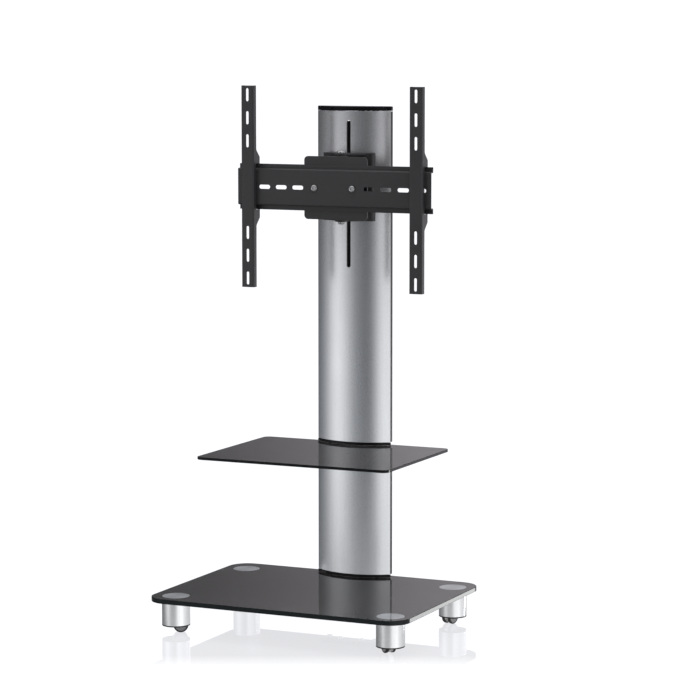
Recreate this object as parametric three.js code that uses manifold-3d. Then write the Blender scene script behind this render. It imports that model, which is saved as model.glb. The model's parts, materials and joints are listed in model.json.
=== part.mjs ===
// Television stand on four castered feet: a glass base, a D-section column in
// two lengths with a glass shelf clamped between them, cable covers behind,
// and a swivelling, height-adjustable screen mount at the top.
// Millimetres, +Z up. Origin: on the floor, under the middle of the base.
// +Y points to the back (the column side), +X to the right seen from the front.
import * as THREE from 'three';
import { mergeVertices } from 'three/addons/utils/BufferGeometryUtils.js';
import Module from 'manifold-3d';

// ---------------------------------------------------------------- dimensions
const GAP = 0.3;            // clearance between touching pieces

// base glass
const BASE_W = 600;         // width, X
const BASE_D = 444;         // depth, Y
const BASE_T = 10;          // glass thickness
const BASE_R = 45;          // corner radius
const BASE_TOP = 80;        // top face above the floor

// shelf glass
const SHELF_W = 450;
const SHELF_FRONT = -127;   // front edge, Y
const SHELF_BACK = 213;     // back edge, Y
const SHELF_T = 6;
const SHELF_R = 15;
const SHELF_TOP = 375.7;
const SHELF_CABLE_R = 8;    // oblong cable hole through the shelf, inside the column
const SHELF_CABLE_HL = 6;
const CABLE_Y = 187;

// feet
const FOOT_X = 252;
const FOOT_Y = 167;
const FOOT_R = 30.25;       // sleeve outer radius
const SLEEVE_RI = 28.2;     // sleeve inner radius
const FOOT_BOTTOM = 15;     // underside of the black rim
const RIM_H = 2.1;
const DISC_R = 30;
const DISC_LIP = 3.3;       // bright ring seen under the glass
const DECK_Z0 = 47;         // deck inside the sleeve that the caster hangs on
const DECK_Z1 = 51;

// casters
const WHEEL_R = 16;
const WHEEL_T = 6;          // thickness of one of the twin wheels
const HOOD_T = 10.5;        // thickness of the body between the wheels
const TRAIL = 9.5;          // swivel axis to axle
const AXLE_R = 2.3;
const STEM_PIN_R = 3.5;
const STEM_THREAD_R = 4;
// direction in plan that each caster trails, degrees from +X
const CASTER_YAW = { front_left: 33, front_right: 139, rear_right: 255, rear_left: 60 };

// column, a D-section extrusion with an open back
const COL_HW = 88;          // half width
const COL_FRONT = 170.1;    // Y of the crown of the curved front
const COL_REAR = 201.1;     // Y of the end of the curve, where the cover starts
const COL_WALL = 3;
const COL_LIP = 18;         // inward lips that the rear cover clips behind
const COVER_BACK = 211.0;   // Y of the flat back of the covers
const COVER_WALL = 2.5;
const OUTLET_HW = 25;       // cable outlets at the covers' ends
const OUTLET_H = 22;
const COLLAR_H = 6.3;       // black collars on the two glass plates
const COLLAR_PROUD = 0.8;
const COLUMN_TOP = 1110;
const CAP_H = 10;
const PORT_R = 8;           // screw ports inside the extrusion
const PORT_BORE = 4.5;
const PORTS = [[-56, 191], [56, 191], [-26, 182], [26, 182]];
const ROD_R = 4;            // tie bolts that clamp base, shelf and columns
const ROD_TOP = 455;

// screen mount
const MOUNT_Z = 945;        // centre of the mount above the floor
const SLOT_HW = 5;          // half width of the slot in the column's front
const SLOT_Z0 = 768;
const SLOT_Z1 = 1090;
const BOLT_DZ = 45;         // carrier bolts above and below the centre
const PIVOT_Y = 133;        // swivel axis
const PIVOT_R = 5;
const RAIL_HW = 230;        // half length of the cross rail
const RAIL_H = 80;
const RAIL_T = 2.5;
const RAIL_FRONT = 90.5;
const RAIL_REAR = 102.7;
const RAIL_LIP = 10;
const ARM_X = 200;          // arms at the 400 mm screen hole spacing
const ARM_HW = 15;
const ARM_T = 2.5;
const ARM_FRONT = 77;
const ARM_TAIL = 91;        // rear edge of the arms' sides
const ARM_REAR = 107.5;     // rear edge where the sides hook over the rail
const LOCK_Y = 101.4;       // lock screws' axis
const ARM_Z0 = 725;
const ARM_Z1 = 1165;

// ---------------------------------------------------------------- solids
const wasm = await Module();
wasm.setup();

function toManifold(geometry) {
  let g = geometry.clone();
  g.deleteAttribute('normal');
  g.deleteAttribute('uv');
  g = mergeVertices(g, 1e-4);
  const p = g.attributes.position.array;
  const tri = new Uint32Array(g.index.array);
  // turn the faces outward if the profile was given the other way round
  let volume = 0;
  for (let i = 0; i < tri.length; i += 3) {
    const [a, b, c] = [3 * tri[i], 3 * tri[i + 1], 3 * tri[i + 2]];
    volume += p[a] * (p[b + 1] * p[c + 2] - p[b + 2] * p[c + 1])
      + p[a + 1] * (p[b + 2] * p[c] - p[b] * p[c + 2])
      + p[a + 2] * (p[b] * p[c + 1] - p[b + 1] * p[c]);
  }
  if (volume < 0) {
    for (let i = 0; i < tri.length; i += 3) [tri[i + 1], tri[i + 2]] = [tri[i + 2], tri[i + 1]];
  }
  return new wasm.Manifold(new wasm.Mesh({
    numProp: 3, vertProperties: new Float32Array(p), triVerts: tri,
  }));
}

function toGeometry(manifold) {
  const m = manifold.getMesh();
  const g = new THREE.BufferGeometry();
  const step = m.numProp;
  const n = m.vertProperties.length / step;
  const pos = new Float32Array(n * 3);
  for (let i = 0; i < n; i++) {
    for (let k = 0; k < 3; k++) pos[3 * i + k] = m.vertProperties[step * i + k];
  }
  g.setAttribute('position', new THREE.BufferAttribute(pos, 3));
  g.setIndex(new THREE.BufferAttribute(new Uint32Array(m.triVerts), 1));
  g.computeVertexNormals();
  return g;
}

function combine(base, adds = [], cuts = []) {
  let m = toManifold(base);
  for (const a of adds) m = m.add(toManifold(a));
  for (const c of cuts) m = m.subtract(toManifold(c));
  return toGeometry(m);
}

// prism of a plan outline between two heights
function prism(shape, z0, z1, curveSegments = 12) {
  const g = new THREE.ExtrudeGeometry(shape, { depth: z1 - z0, bevelEnabled: false, curveSegments });
  g.translate(0, 0, z0);
  return g;
}

// plate with a ground arris all round
function plate(shape, z0, z1, arris, curveSegments = 12) {
  const g = new THREE.ExtrudeGeometry(shape, {
    depth: z1 - z0 - 2 * arris, bevelEnabled: true, bevelThickness: arris,
    bevelSize: arris, bevelOffset: -arris, bevelSegments: 1, curveSegments,
  });
  g.translate(0, 0, z0 + arris);
  return g;
}

function polygon(points) {
  return new THREE.Shape(points.map(([x, y]) => new THREE.Vector2(x, y)));
}

function roundedRect(x0, x1, y0, y1, r) {
  const s = new THREE.Shape();
  s.moveTo(x0 + r, y0);
  s.lineTo(x1 - r, y0);
  s.absarc(x1 - r, y0 + r, r, -Math.PI / 2, 0, false);
  s.lineTo(x1, y1 - r);
  s.absarc(x1 - r, y1 - r, r, 0, Math.PI / 2, false);
  s.lineTo(x0 + r, y1);
  s.absarc(x0 + r, y1 - r, r, Math.PI / 2, Math.PI, false);
  s.lineTo(x0, y0 + r);
  s.absarc(x0 + r, y0 + r, r, Math.PI, 1.5 * Math.PI, false);
  s.closePath();
  return s;
}

function hole(shape, x, y, r) {
  const p = new THREE.Path();
  p.absarc(x, y, r, 0, 2 * Math.PI, true);
  shape.holes.push(p);
}

// cylinder from z0 to z1, along Z
function post(x, y, r, z0, z1, n = 24) {
  const g = new THREE.CylinderGeometry(r, r, z1 - z0, n);
  g.rotateX(Math.PI / 2);
  g.translate(x, y, (z0 + z1) / 2);
  return g;
}

// cylinder along Y
function rodY(x, z, r, y0, y1, n = 24) {
  const g = new THREE.CylinderGeometry(r, r, y1 - y0, n);
  g.translate(x, (y0 + y1) / 2, z);
  return g;
}

function box(x0, x1, y0, y1, z0, z1) {
  const g = new THREE.BoxGeometry(x1 - x0, y1 - y0, z1 - z0);
  g.translate((x0 + x1) / 2, (y0 + y1) / 2, (z0 + z1) / 2);
  return g;
}

// turned piece: profile of [radius, height] points, axis along Z
function turned(points, n = 32) {
  const g = new THREE.LatheGeometry(points.map(([r, z]) => new THREE.Vector2(r, z)), n);
  g.rotateX(Math.PI / 2);
  return g;
}

// closed profile that doesn't reach the axis
function turnedRing(points, n = 32) {
  return turned([...points, points[0]], n);
}

const group = new THREE.Group();
group.name = 'television_stand';

function material(color, roughness, metalness) {
  return new THREE.MeshStandardMaterial({ color, roughness, metalness });
}
const MAT = {
  glass: () => material(0x3a393c, 0.06, 0.0),
  aluminium: () => material(0xb4b6b9, 0.38, 1.0),
  disc: () => material(0xc4c8ca, 0.3, 1.0),
  gloss: () => material(0x0e0e10, 0.15, 0.0),
  matte: () => material(0x1d1d1f, 0.6, 0.0),
  wheel: () => material(0x2b2b2d, 0.55, 0.0),
  zinc: () => material(0xa9abad, 0.3, 1.0),
  coated: () => material(0x18181a, 0.5, 0.3),
  rubber: () => material(0x161616, 0.85, 0.0),
};

function piece(name, geometry, mat, parent = group) {
  const clean = toGeometry(toManifold(geometry));
  const mesh = new THREE.Mesh(clean, mat);
  mesh.name = name;
  parent.add(mesh);
  return mesh;
}

// ---------------------------------------------------------------- base glass
{
  const s = roundedRect(-BASE_W / 2, BASE_W / 2, -BASE_D / 2, BASE_D / 2, BASE_R);
  for (const [x, y] of PORTS) hole(s, x, y, 5);
  piece('base_glass', plate(s, BASE_TOP - BASE_T, BASE_TOP, 0.7, 8), MAT.glass());
}

// ---------------------------------------------------------------- column plan
const colRadius = (COL_HW ** 2 + (COL_REAR - COL_FRONT) ** 2) / (2 * (COL_REAR - COL_FRONT));
const colCentre = COL_FRONT + colRadius;

// points of an arc about the column's curve centre, from the left to the right,
// between the heights where it meets y = yEnd
function frontArc(r, yEnd, n) {
  const a = Math.acos((colCentre - yEnd) / r);
  const pts = [];
  for (let i = 0; i <= n; i++) {
    const t = -a + (2 * a * i) / n;
    pts.push([r * Math.sin(t), colCentre - r * Math.cos(t)]);
  }
  return pts;
}

// walk the inner wall from right to left, going round each screw port
function innerWall() {
  const r = colRadius - COL_WALL;
  const yEnd = COL_REAR - COL_WALL;
  const end = Math.acos((colCentre - yEnd) / r);
  const at = (t) => [r * Math.sin(t), colCentre - r * Math.cos(t)];
  const ports = PORTS.map(([x, y]) => {
    const d = Math.hypot(x, colCentre - y);
    const mid = Math.atan2(x, colCentre - y);
    // half angle, seen from the curve centre, of the chord where port and wall cross
    const half = Math.acos((r * r + d * d - PORT_R * PORT_R) / (2 * r * d));
    return { x, y, mid, half };
  }).sort((p, q) => q.mid - p.mid);
  const pts = [];
  let t = end;
  const arcTo = (t1) => {
    const n = Math.max(1, Math.round((t - t1) / 0.11));
    for (let i = 0; i < n; i++) pts.push(at(t + ((t1 - t) * i) / n));
    t = t1;
  };
  for (const p of ports) {
    arcTo(p.mid + p.half);
    const [ax, ay] = at(p.mid + p.half);
    const [bx, by] = at(p.mid - p.half);
    const a0 = Math.atan2(ay - p.y, ax - p.x);
    let a1 = Math.atan2(by - p.y, bx - p.x);
    while (a1 < a0) a1 += 2 * Math.PI;        // round the side that faces inward
    const n = 9;
    for (let i = 0; i < n; i++) {
      const a = a0 + ((a1 - a0) * i) / n;
      pts.push([p.x + PORT_R * Math.cos(a), p.y + PORT_R * Math.sin(a)]);
    }
    t = p.mid - p.half;
  }
  arcTo(-end);
  pts.push(at(-end));
  return pts;
}

function columnSection() {
  const outer = frontArc(colRadius, COL_REAR, 28);
  const lipX = COL_HW - COL_LIP;
  const s = polygon([
    ...outer,
    [lipX, COL_REAR], [lipX, COL_REAR - COL_WALL],
    ...innerWall(),
    [-lipX, COL_REAR - COL_WALL], [-lipX, COL_REAR],
  ]);
  for (const [x, y] of PORTS) hole(s, x, y, PORT_BORE);
  return s;
}

function columnLength(z0, z1, cuts = []) {
  const g = prism(columnSection(), z0, z1, 5);
  return cuts.length ? combine(g, [], cuts) : g;
}

// D-shaped ring that carries the section, open in the middle for cables
function collarPlan(proud) {
  const r = colRadius + proud;
  const s = polygon(frontArc(r, COL_REAR, 28));
  const inner = roundedRect(-17, 17, CABLE_Y - 10, CABLE_Y + 10, 5);
  s.holes.push(new THREE.Path(inner.getPoints(4).reverse()));
  for (const [x, y] of PORTS) hole(s, x, y, 5);
  return s;
}

// ---------------------------------------------------------------- base clamp
{
  const s = roundedRect(-72, 72, 171, 203, 10);
  for (const [x, y] of PORTS) hole(s, x, y, 5);
  piece('base_clamp_plate', prism(s, BASE_TOP - BASE_T - GAP - 4, BASE_TOP - BASE_T - GAP, 8), MAT.coated());
}

const collarZ0 = BASE_TOP + GAP;
const collarZ1 = collarZ0 + COLLAR_H - GAP;
piece('base_collar', plate(collarPlan(COLLAR_PROUD), collarZ0, collarZ1, 0.6, 5), MAT.gloss());

const shelfBottom = SHELF_TOP - SHELF_T;
const padZ1 = shelfBottom - GAP;
const padZ0 = padZ1 - 2;
const lowerZ0 = collarZ1 + GAP;
const lowerZ1 = padZ0 - GAP;
piece('lower_column', columnLength(lowerZ0, lowerZ1), MAT.aluminium());
piece('shelf_pad', prism(collarPlan(0), padZ0, padZ1, 5), MAT.rubber());

// ---------------------------------------------------------------- shelf glass
{
  const s = roundedRect(-SHELF_W / 2, SHELF_W / 2, SHELF_FRONT, SHELF_BACK, SHELF_R);
  for (const [x, y] of PORTS) hole(s, x, y, 5);
  const way = new THREE.Path();
  way.absarc(SHELF_CABLE_HL, CABLE_Y, SHELF_CABLE_R, Math.PI / 2, -Math.PI / 2, true);
  way.absarc(-SHELF_CABLE_HL, CABLE_Y, SHELF_CABLE_R, -Math.PI / 2, -1.5 * Math.PI, true);
  s.holes.push(way);
  piece('shelf_glass', plate(s, shelfBottom, SHELF_TOP, 0.6, 6), MAT.glass());
}

const shelfCollarZ0 = SHELF_TOP + GAP;
const shelfCollarZ1 = shelfCollarZ0 + COLLAR_H - GAP;
piece('shelf_collar', plate(collarPlan(COLLAR_PROUD), shelfCollarZ0, shelfCollarZ1, 0.6, 5), MAT.gloss());

// upper column, with the slot for the mount's bolts in its front wall
const upperZ0 = shelfCollarZ1 + GAP;
{
  const slot = [
    box(-SLOT_HW, SLOT_HW, COL_FRONT - 5, COL_FRONT + 8, SLOT_Z0 + SLOT_HW, SLOT_Z1 - SLOT_HW),
    rodY(0, SLOT_Z0 + SLOT_HW, SLOT_HW, COL_FRONT - 5, COL_FRONT + 8, 16),
    rodY(0, SLOT_Z1 - SLOT_HW, SLOT_HW, COL_FRONT - 5, COL_FRONT + 8, 16),
  ];
  piece('upper_column', columnLength(upperZ0, COLUMN_TOP, slot), MAT.aluminium());
}

// ---------------------------------------------------------------- rear covers
// shallow channel that closes the open back, with two legs inside the lips
function cover(z0, z1, notches) {
  const hw = COL_HW;
  const y0 = COL_REAR + GAP;
  const y1 = COVER_BACK;
  const w = COVER_WALL;
  const lx = COL_HW - COL_LIP - 0.6;       // outer face of the legs
  const leg = COL_REAR - COL_WALL - 4;     // how far they reach in
  const shell = prism(polygon([
    [-hw, y0], [-hw + w, y0], [-hw + w, y1 - w], [-lx, y1 - w],
    [-lx, leg], [-lx + w, leg], [-lx + w, y1 - w],
    [lx - w, y1 - w], [lx - w, leg], [lx, leg],
    [lx, y1 - w], [hw - w, y1 - w], [hw - w, y0], [hw, y0],
    [hw, y1 - 1.5], [hw - 1.5, y1], [-hw + 1.5, y1], [-hw, y1 - 1.5],
  ]), z0, z1);
  const cuts = notches.map(([a, b]) => box(-OUTLET_HW, OUTLET_HW, y1 - w - 2, y1 + 2, a, b));
  return combine(shell, [], cuts);
}
const lowerCover = [collarZ1 + 1, lowerZ1 - 1];
const upperCover = [shelfCollarZ1 + 1, COLUMN_TOP - 1];
piece('lower_rear_cover', cover(...lowerCover, [
  [lowerCover[0] - 2, lowerCover[0] + OUTLET_H],
]), MAT.matte());
piece('upper_rear_cover', cover(...upperCover, [
  [upperCover[0] - 2, upperCover[0] + OUTLET_H],
  [upperCover[1] - OUTLET_H, upperCover[1] + 2],
]), MAT.matte());

// ---------------------------------------------------------------- top cap
{
  const z0 = COLUMN_TOP + GAP;
  const r = colRadius + 0.4;
  const arc = frontArc(r, COL_REAR, 28);
  const s = polygon([...arc, [COL_HW + 0.4, COVER_BACK - 1.5], [COL_HW - 1.1, COVER_BACK + 0.4],
    [-COL_HW + 1.1, COVER_BACK + 0.4], [-COL_HW - 0.4, COVER_BACK - 1.5]]);
  const top = plate(s, z0, z0 + CAP_H - GAP, 1.2);
  const tabs = [
    box(-45, -37, 184, 187, z0 - 14, z0 + 3),
    box(37, 45, 184, 187, z0 - 14, z0 + 3),
  ];
  piece('top_cap', combine(top, tabs), MAT.gloss());
}

// ---------------------------------------------------------------- tie bolts
PORTS.forEach(([x, y], i) => {
  const z0 = BASE_TOP - BASE_T - GAP - 4 - GAP;
  const side = x < 0 ? 'left' : 'right';
  const end = y > 186 ? 'rear' : 'front';
  const g = turned([
    [0, z0 - 5], [6.5, z0 - 5], [6.5, z0], [ROD_R, z0], [ROD_R, ROD_TOP], [0, ROD_TOP],
  ], 10);
  g.translate(x, y, 0);
  piece(`tie_bolt_${end}_${side}`, g, MAT.zinc());
});

// ---------------------------------------------------------------- feet
const feet = {
  front_left: [-FOOT_X, -FOOT_Y],
  front_right: [FOOT_X, -FOOT_Y],
  rear_right: [FOOT_X, FOOT_Y],
  rear_left: [-FOOT_X, FOOT_Y],
};

for (const [where, [fx, fy]] of Object.entries(feet)) {
  const foot = new THREE.Group();
  foot.position.set(fx, fy, 0);
  group.add(foot);

  // disc bonded under the glass, with a threaded boss
  const top = BASE_TOP - BASE_T - GAP;
  piece(`foot_disc_${where}`, turned([
    [0, top], [DISC_R, top], [DISC_R, top - DISC_LIP],
    [12, top - DISC_LIP], [12, DECK_Z1 + GAP], [STEM_THREAD_R + 0.5, DECK_Z1 + GAP],
    [STEM_THREAD_R + 0.5, top - 3.6], [0, top - 3.6],
  ], 24), MAT.disc(), foot);

  // sleeve with its deck
  const sz0 = FOOT_BOTTOM + RIM_H + GAP;
  const sz1 = top - DISC_LIP - GAP;
  piece(`foot_sleeve_${where}`, turnedRing([
    [SLEEVE_RI, sz0], [FOOT_R, sz0], [FOOT_R, sz1],
    [SLEEVE_RI, sz1], [SLEEVE_RI, DECK_Z1], [STEM_THREAD_R + 0.5, DECK_Z1],
    [STEM_THREAD_R + 0.5, DECK_Z0], [SLEEVE_RI, DECK_Z0],
  ], 24), MAT.aluminium(), foot);

  // black rim pressed on the sleeve's lower edge
  piece(`foot_rim_${where}`, turnedRing([
    [SLEEVE_RI, FOOT_BOTTOM], [FOOT_R, FOOT_BOTTOM],
    [FOOT_R, FOOT_BOTTOM + RIM_H], [SLEEVE_RI, FOOT_BOTTOM + RIM_H],
  ], 24), MAT.matte(), foot);

  // threaded stem that the caster turns on
  piece(`caster_stem_${where}`, turned([
    [0, 34], [STEM_PIN_R, 34], [STEM_PIN_R, 44], [7, 44],
    [7, DECK_Z0 - GAP], [STEM_THREAD_R, DECK_Z0 - GAP], [STEM_THREAD_R, top - 5], [0, top - 5],
  ], 10), MAT.zinc(), foot);

  // caster, trailing along local +x
  const caster = new THREE.Group();
  caster.rotation.z = THREE.MathUtils.degToRad(CASTER_YAW[where]);
  foot.add(caster);

  // body between the wheels
  const web = new THREE.ExtrudeGeometry(polygon([
    [-8, 37], [-8, 22], [-6.9, 13.5], [-4.2, 7.2], [1, 3.2], [9.5, 2.2], [17.5, 4.6], [23, 11.5], [22.4, 20], [13.5, 31], [8.2, 37],
  ]), { depth: HOOD_T, bevelEnabled: false });
  web.rotateX(Math.PI / 2);
  web.translate(0, HOOD_T / 2, 0);
  const cheek = rodY(TRAIL, WHEEL_R, 12.6, -HOOD_T / 2, HOOD_T / 2, 24);
  const boss = post(0, 0, 9.5, 33, 43.6, 16);
  const stemBore = post(0, 0, STEM_PIN_R + 0.4, 33.5, 50, 10);
  const axleBore = rodY(TRAIL, WHEEL_R, AXLE_R + GAP + 0.1, -HOOD_T, HOOD_T, 10);
  piece(`caster_body_${where}`, combine(web, [cheek, boss], [stemBore, axleBore]), MAT.zinc(), caster);

  // axle
  const half = HOOD_T / 2 + 0.35 + WHEEL_T;
  piece(`caster_axle_${where}`, rodY(TRAIL, WHEEL_R, AXLE_R, -half + 0.6, half - 0.6, 10), MAT.zinc(), caster);

  // twin wheels: tread with rounded shoulders, dished outer face round a hub
  const w0 = HOOD_T / 2 + 0.35;
  const bore = AXLE_R + 0.4;
  const profile = [
    [bore, w0], [WHEEL_R, w0], [WHEEL_R, w0 + WHEEL_T - 1.8],
    [WHEEL_R - 1.8, w0 + WHEEL_T], [bore, w0 + WHEEL_T],
  ];
  for (const [side, s] of [['left', 1], ['right', -1]]) {
    const pts = profile.map(([r, y]) => new THREE.Vector2(r, s * y));
    if (s < 0) pts.reverse();
    const g = new THREE.LatheGeometry([...pts, pts[0]], 24);
    g.translate(TRAIL, 0, WHEEL_R);
    piece(`caster_wheel_${side}_${where}`, g, MAT.wheel(), caster);
  }
}

// ---------------------------------------------------------------- mount carrier
const LUG = { z0: MOUNT_Z - 74, z1: MOUNT_Z + 74, t: 5, r: 14 };

// lug plan: from a straight back edge to a round nose about the pivot
function lugPlan(halfBack, yBack) {
  const s = new THREE.Shape();
  s.moveTo(-halfBack, yBack);
  s.lineTo(-LUG.r, PIVOT_Y + (yBack > PIVOT_Y ? 8 : -8));
  const n = 14;
  const sign = yBack > PIVOT_Y ? -1 : 1;
  for (let i = 0; i <= n; i++) {
    const t = Math.PI - (Math.PI * i) / n;
    s.lineTo(LUG.r * Math.cos(t), PIVOT_Y + sign * LUG.r * Math.sin(t));
  }
  s.lineTo(LUG.r, PIVOT_Y + (yBack > PIVOT_Y ? 8 : -8));
  s.lineTo(halfBack, yBack);
  s.closePath();
  return s;
}

const nutY0 = COL_FRONT + COL_WALL + 1.1;
{
  const y1 = COL_FRONT - GAP;                 // back face of the web
  const y0 = y1 - 4;
  const z0 = LUG.z0;
  const z1 = LUG.z1;
  const web = box(-60, 60, y0, y1, z0, z1);
  const adds = [
    box(-60, -56, y0, 181, z0, z1),
    box(56, 60, y0, 181, z0, z1),
    prism(lugPlan(44, y0 + 1), z1 - LUG.t, z1),
    prism(lugPlan(44, y0 + 1), z0, z0 + LUG.t),
  ];
  const cuts = [
    post(0, PIVOT_Y, PIVOT_R + 0.35, z0 - 5, z1 + 5, 20),
    rodY(0, MOUNT_Z - BOLT_DZ, 4.5, y0 - 5, y1 + 5, 16),
    rodY(0, MOUNT_Z + BOLT_DZ, 4.5, y0 - 5, y1 + 5, 16),
  ];
  piece('mount_carrier', combine(web, adds, cuts), MAT.coated());

  // bar inside the column that the carrier bolts pull against the wall
  piece('clamp_bar', combine(
    box(-11, 11, nutY0, nutY0 + 6, MOUNT_Z - 68, MOUNT_Z + 68), [],
    [rodY(0, MOUNT_Z - BOLT_DZ, 4.4, nutY0 - 5, nutY0 + 12, 16), rodY(0, MOUNT_Z + BOLT_DZ, 4.4, nutY0 - 5, nutY0 + 12, 16)],
  ), MAT.zinc());

  for (const [name, dz] of [['lower', -BOLT_DZ], ['upper', BOLT_DZ]]) {
    const g = new THREE.LatheGeometry([
      [0, y0 - GAP - 7], [2.4, y0 - GAP - 7], [2.4, y0 - GAP - 10], [6, y0 - GAP - 10], [6.5, y0 - GAP - 9.5],
      [6.5, y0 - GAP], [4, y0 - GAP], [4, nutY0 + 9], [3.2, nutY0 + 10], [0, nutY0 + 10],
    ].map(([r, y]) => new THREE.Vector2(r, y)), 18);
    g.translate(0, 0, MOUNT_Z + dz);
    piece(`carrier_bolt_${name}`, g, MAT.zinc());
  }
}

// pivot rivet with a head above the top lug and a peened head below the lower
piece('pivot_pin', (() => {
  const g = turned([
    [0, LUG.z0 - 6], [5, LUG.z0 - 6], [7.5, LUG.z0 - 3.5], [7.5, LUG.z0 - GAP], [PIVOT_R, LUG.z0 - GAP],
    [PIVOT_R, LUG.z1 + GAP], [10, LUG.z1 + GAP], [10, LUG.z1 + 4], [7, LUG.z1 + 6.5], [0, LUG.z1 + 7],
  ], 20);
  g.translate(0, PIVOT_Y, 0);
  return g;
})(), MAT.zinc());

// ---------------------------------------------------------------- swivel bracket
const plateY0 = RAIL_REAR + GAP;
{
  const z0 = LUG.z0 + LUG.t + 0.5;
  const z1 = LUG.z1 - LUG.t - 0.5;
  const s = box(-75, 75, plateY0, plateY0 + 4, z0, z1);
  const ears = [
    prism(lugPlan(34, plateY0 + 3), z1 - LUG.t, z1),
    prism(lugPlan(34, plateY0 + 3), z0, z0 + LUG.t),
  ];
  const cuts = [
    post(0, PIVOT_Y, PIVOT_R + 0.35, z0 - 5, z1 + 5, 20),
    rodY(-45, MOUNT_Z, 4.4, plateY0 - 5, plateY0 + 10, 16),
    rodY(45, MOUNT_Z, 4.4, plateY0 - 5, plateY0 + 10, 16),
  ];
  piece('swivel_bracket', combine(s, ears, cuts), MAT.coated());
}

// oblong hole in a face that looks along Y: centre, half length, radius
function oblongX(x, z, hl, r, y0, y1) {
  return [box(x - hl, x + hl, y0, y1, z - r, z + r), rodY(x - hl, z, r, y0, y1, 12), rodY(x + hl, z, r, y0, y1, 12)];
}
function oblongZ(x, z, hl, r, y0, y1) {
  return [box(x - r, x + r, y0, y1, z - hl, z + hl), rodY(x, z - hl, r, y0, y1, 12), rodY(x, z + hl, r, y0, y1, 12)];
}

// ---------------------------------------------------------------- cross rail
{
  const zt = MOUNT_Z + RAIL_H / 2;
  const zb = MOUNT_Z - RAIL_H / 2;
  const web = box(-RAIL_HW, RAIL_HW, RAIL_FRONT, RAIL_FRONT + RAIL_T, zb, zt);
  const adds = [
    box(-RAIL_HW, RAIL_HW, RAIL_FRONT, RAIL_REAR, zt - RAIL_T, zt),
    box(-RAIL_HW, RAIL_HW, RAIL_FRONT, RAIL_REAR, zb, zb + RAIL_T),
    box(-RAIL_HW, RAIL_HW, RAIL_REAR - RAIL_T, RAIL_REAR, zt - RAIL_T, zt + RAIL_LIP),
    box(-RAIL_HW, RAIL_HW, RAIL_REAR - RAIL_T, RAIL_REAR, zb - RAIL_LIP, zb + RAIL_T),
  ];
  const cuts = [];
  for (const x of [-205, -165, -125, -85, 85, 125, 165, 205]) {
    cuts.push(...oblongX(x, MOUNT_Z, 9, 4.5, RAIL_FRONT - 2, RAIL_FRONT + 5));
  }
  cuts.push(rodY(-45, MOUNT_Z, 4.4, RAIL_FRONT - 2, RAIL_FRONT + 5, 16));
  cuts.push(rodY(45, MOUNT_Z, 4.4, RAIL_FRONT - 2, RAIL_FRONT + 5, 16));
  piece('cross_rail', combine(web, adds, cuts), MAT.coated());

  for (const [name, x] of [['left', -45], ['right', 45]]) {
    const g = new THREE.LatheGeometry([
      [0, RAIL_FRONT - GAP - 3.6], [3.5, RAIL_FRONT - GAP - 3.3], [6.4, RAIL_FRONT - GAP - 1.8], [7, RAIL_FRONT - GAP],
      [4, RAIL_FRONT - GAP], [4, plateY0 + 8], [3.2, plateY0 + 9], [0, plateY0 + 9],
    ].map(([r, y]) => new THREE.Vector2(r, y)), 18);
    g.translate(x, 0, MOUNT_Z);
    piece(`rail_bolt_${name}`, g, MAT.zinc());
  }
}

// ---------------------------------------------------------------- screen arms
for (const [name, sx] of [['left', -1], ['right', 1]]) {
  const cx = sx * ARM_X;
  const zt = MOUNT_Z + RAIL_H / 2 + RAIL_LIP + GAP;   // underside of the hook slot
  const zb = MOUNT_Z - RAIL_H / 2 - RAIL_LIP - GAP;
  // side wall outline in Y,Z
  const side = polygon([
    [ARM_FRONT, ARM_Z0], [ARM_TAIL, ARM_Z0], [ARM_TAIL, zb - 34], [ARM_REAR, zb - 18], [ARM_REAR, zb],
    [RAIL_FRONT - GAP, zb], [RAIL_FRONT - GAP, zt], [RAIL_REAR + GAP, zt], [RAIL_REAR + GAP, zt - 16],
    [ARM_REAR, zt - 16], [ARM_REAR, zt + 14], [ARM_TAIL, zt + 30], [ARM_TAIL, ARM_Z1], [ARM_FRONT, ARM_Z1],
  ]);
  const wall = (x0) => {
    const g = new THREE.ExtrudeGeometry(side, { depth: ARM_T, bevelEnabled: false });
    // shape (Y,Z) extruded along X
    g.applyMatrix4(new THREE.Matrix4().set(0, 0, 1, x0, 1, 0, 0, 0, 0, 1, 0, 0, 0, 0, 0, 1));
    return g;
  };
  const web = box(cx - ARM_HW, cx + ARM_HW, ARM_FRONT, ARM_FRONT + ARM_T, ARM_Z0, ARM_Z1);
  const tab = box(cx - ARM_HW + 1, cx + ARM_HW - 1, ARM_TAIL + 3, ARM_REAR, zb - 16, zb - 12);
  const cuts = [post(cx, LOCK_Y, 3.4, zb - 20, zb - 8, 14)];
  for (const dz of [-200, -150, -100, 100, 150, 200]) {
    cuts.push(...oblongZ(cx, MOUNT_Z + dz, 11, 3.4, ARM_FRONT - 2, ARM_FRONT + 5));
  }
  piece(`screen_arm_${name}`, combine(web, [wall(cx - ARM_HW), wall(cx + ARM_HW - ARM_T), tab], cuts), MAT.coated());

  const g = turned([
    [0, zb - 28], [4.6, zb - 28], [5, zb - 27.6], [5, zb - 21], [3, zb - 21], [3, zb - 1], [2.2, zb - GAP], [0, zb - GAP],
  ], 14);
  g.translate(cx, LOCK_Y, 0);
  piece(`arm_lock_screw_${name}`, g, MAT.zinc());
}

export default group;
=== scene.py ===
# Television stand: castered glass base, D-section aluminium column in two
# lengths, glass shelf, rear cable covers and a swivelling screen mount.
# Every piece is built here as a fine mesh in the frame's own place and size.
# Lengths in the builders are millimetres; make() turns them into metres.
import json
import math

import bmesh
import bpy
from mathutils import Matrix, Vector
from mathutils.geometry import tessellate_polygon


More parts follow.
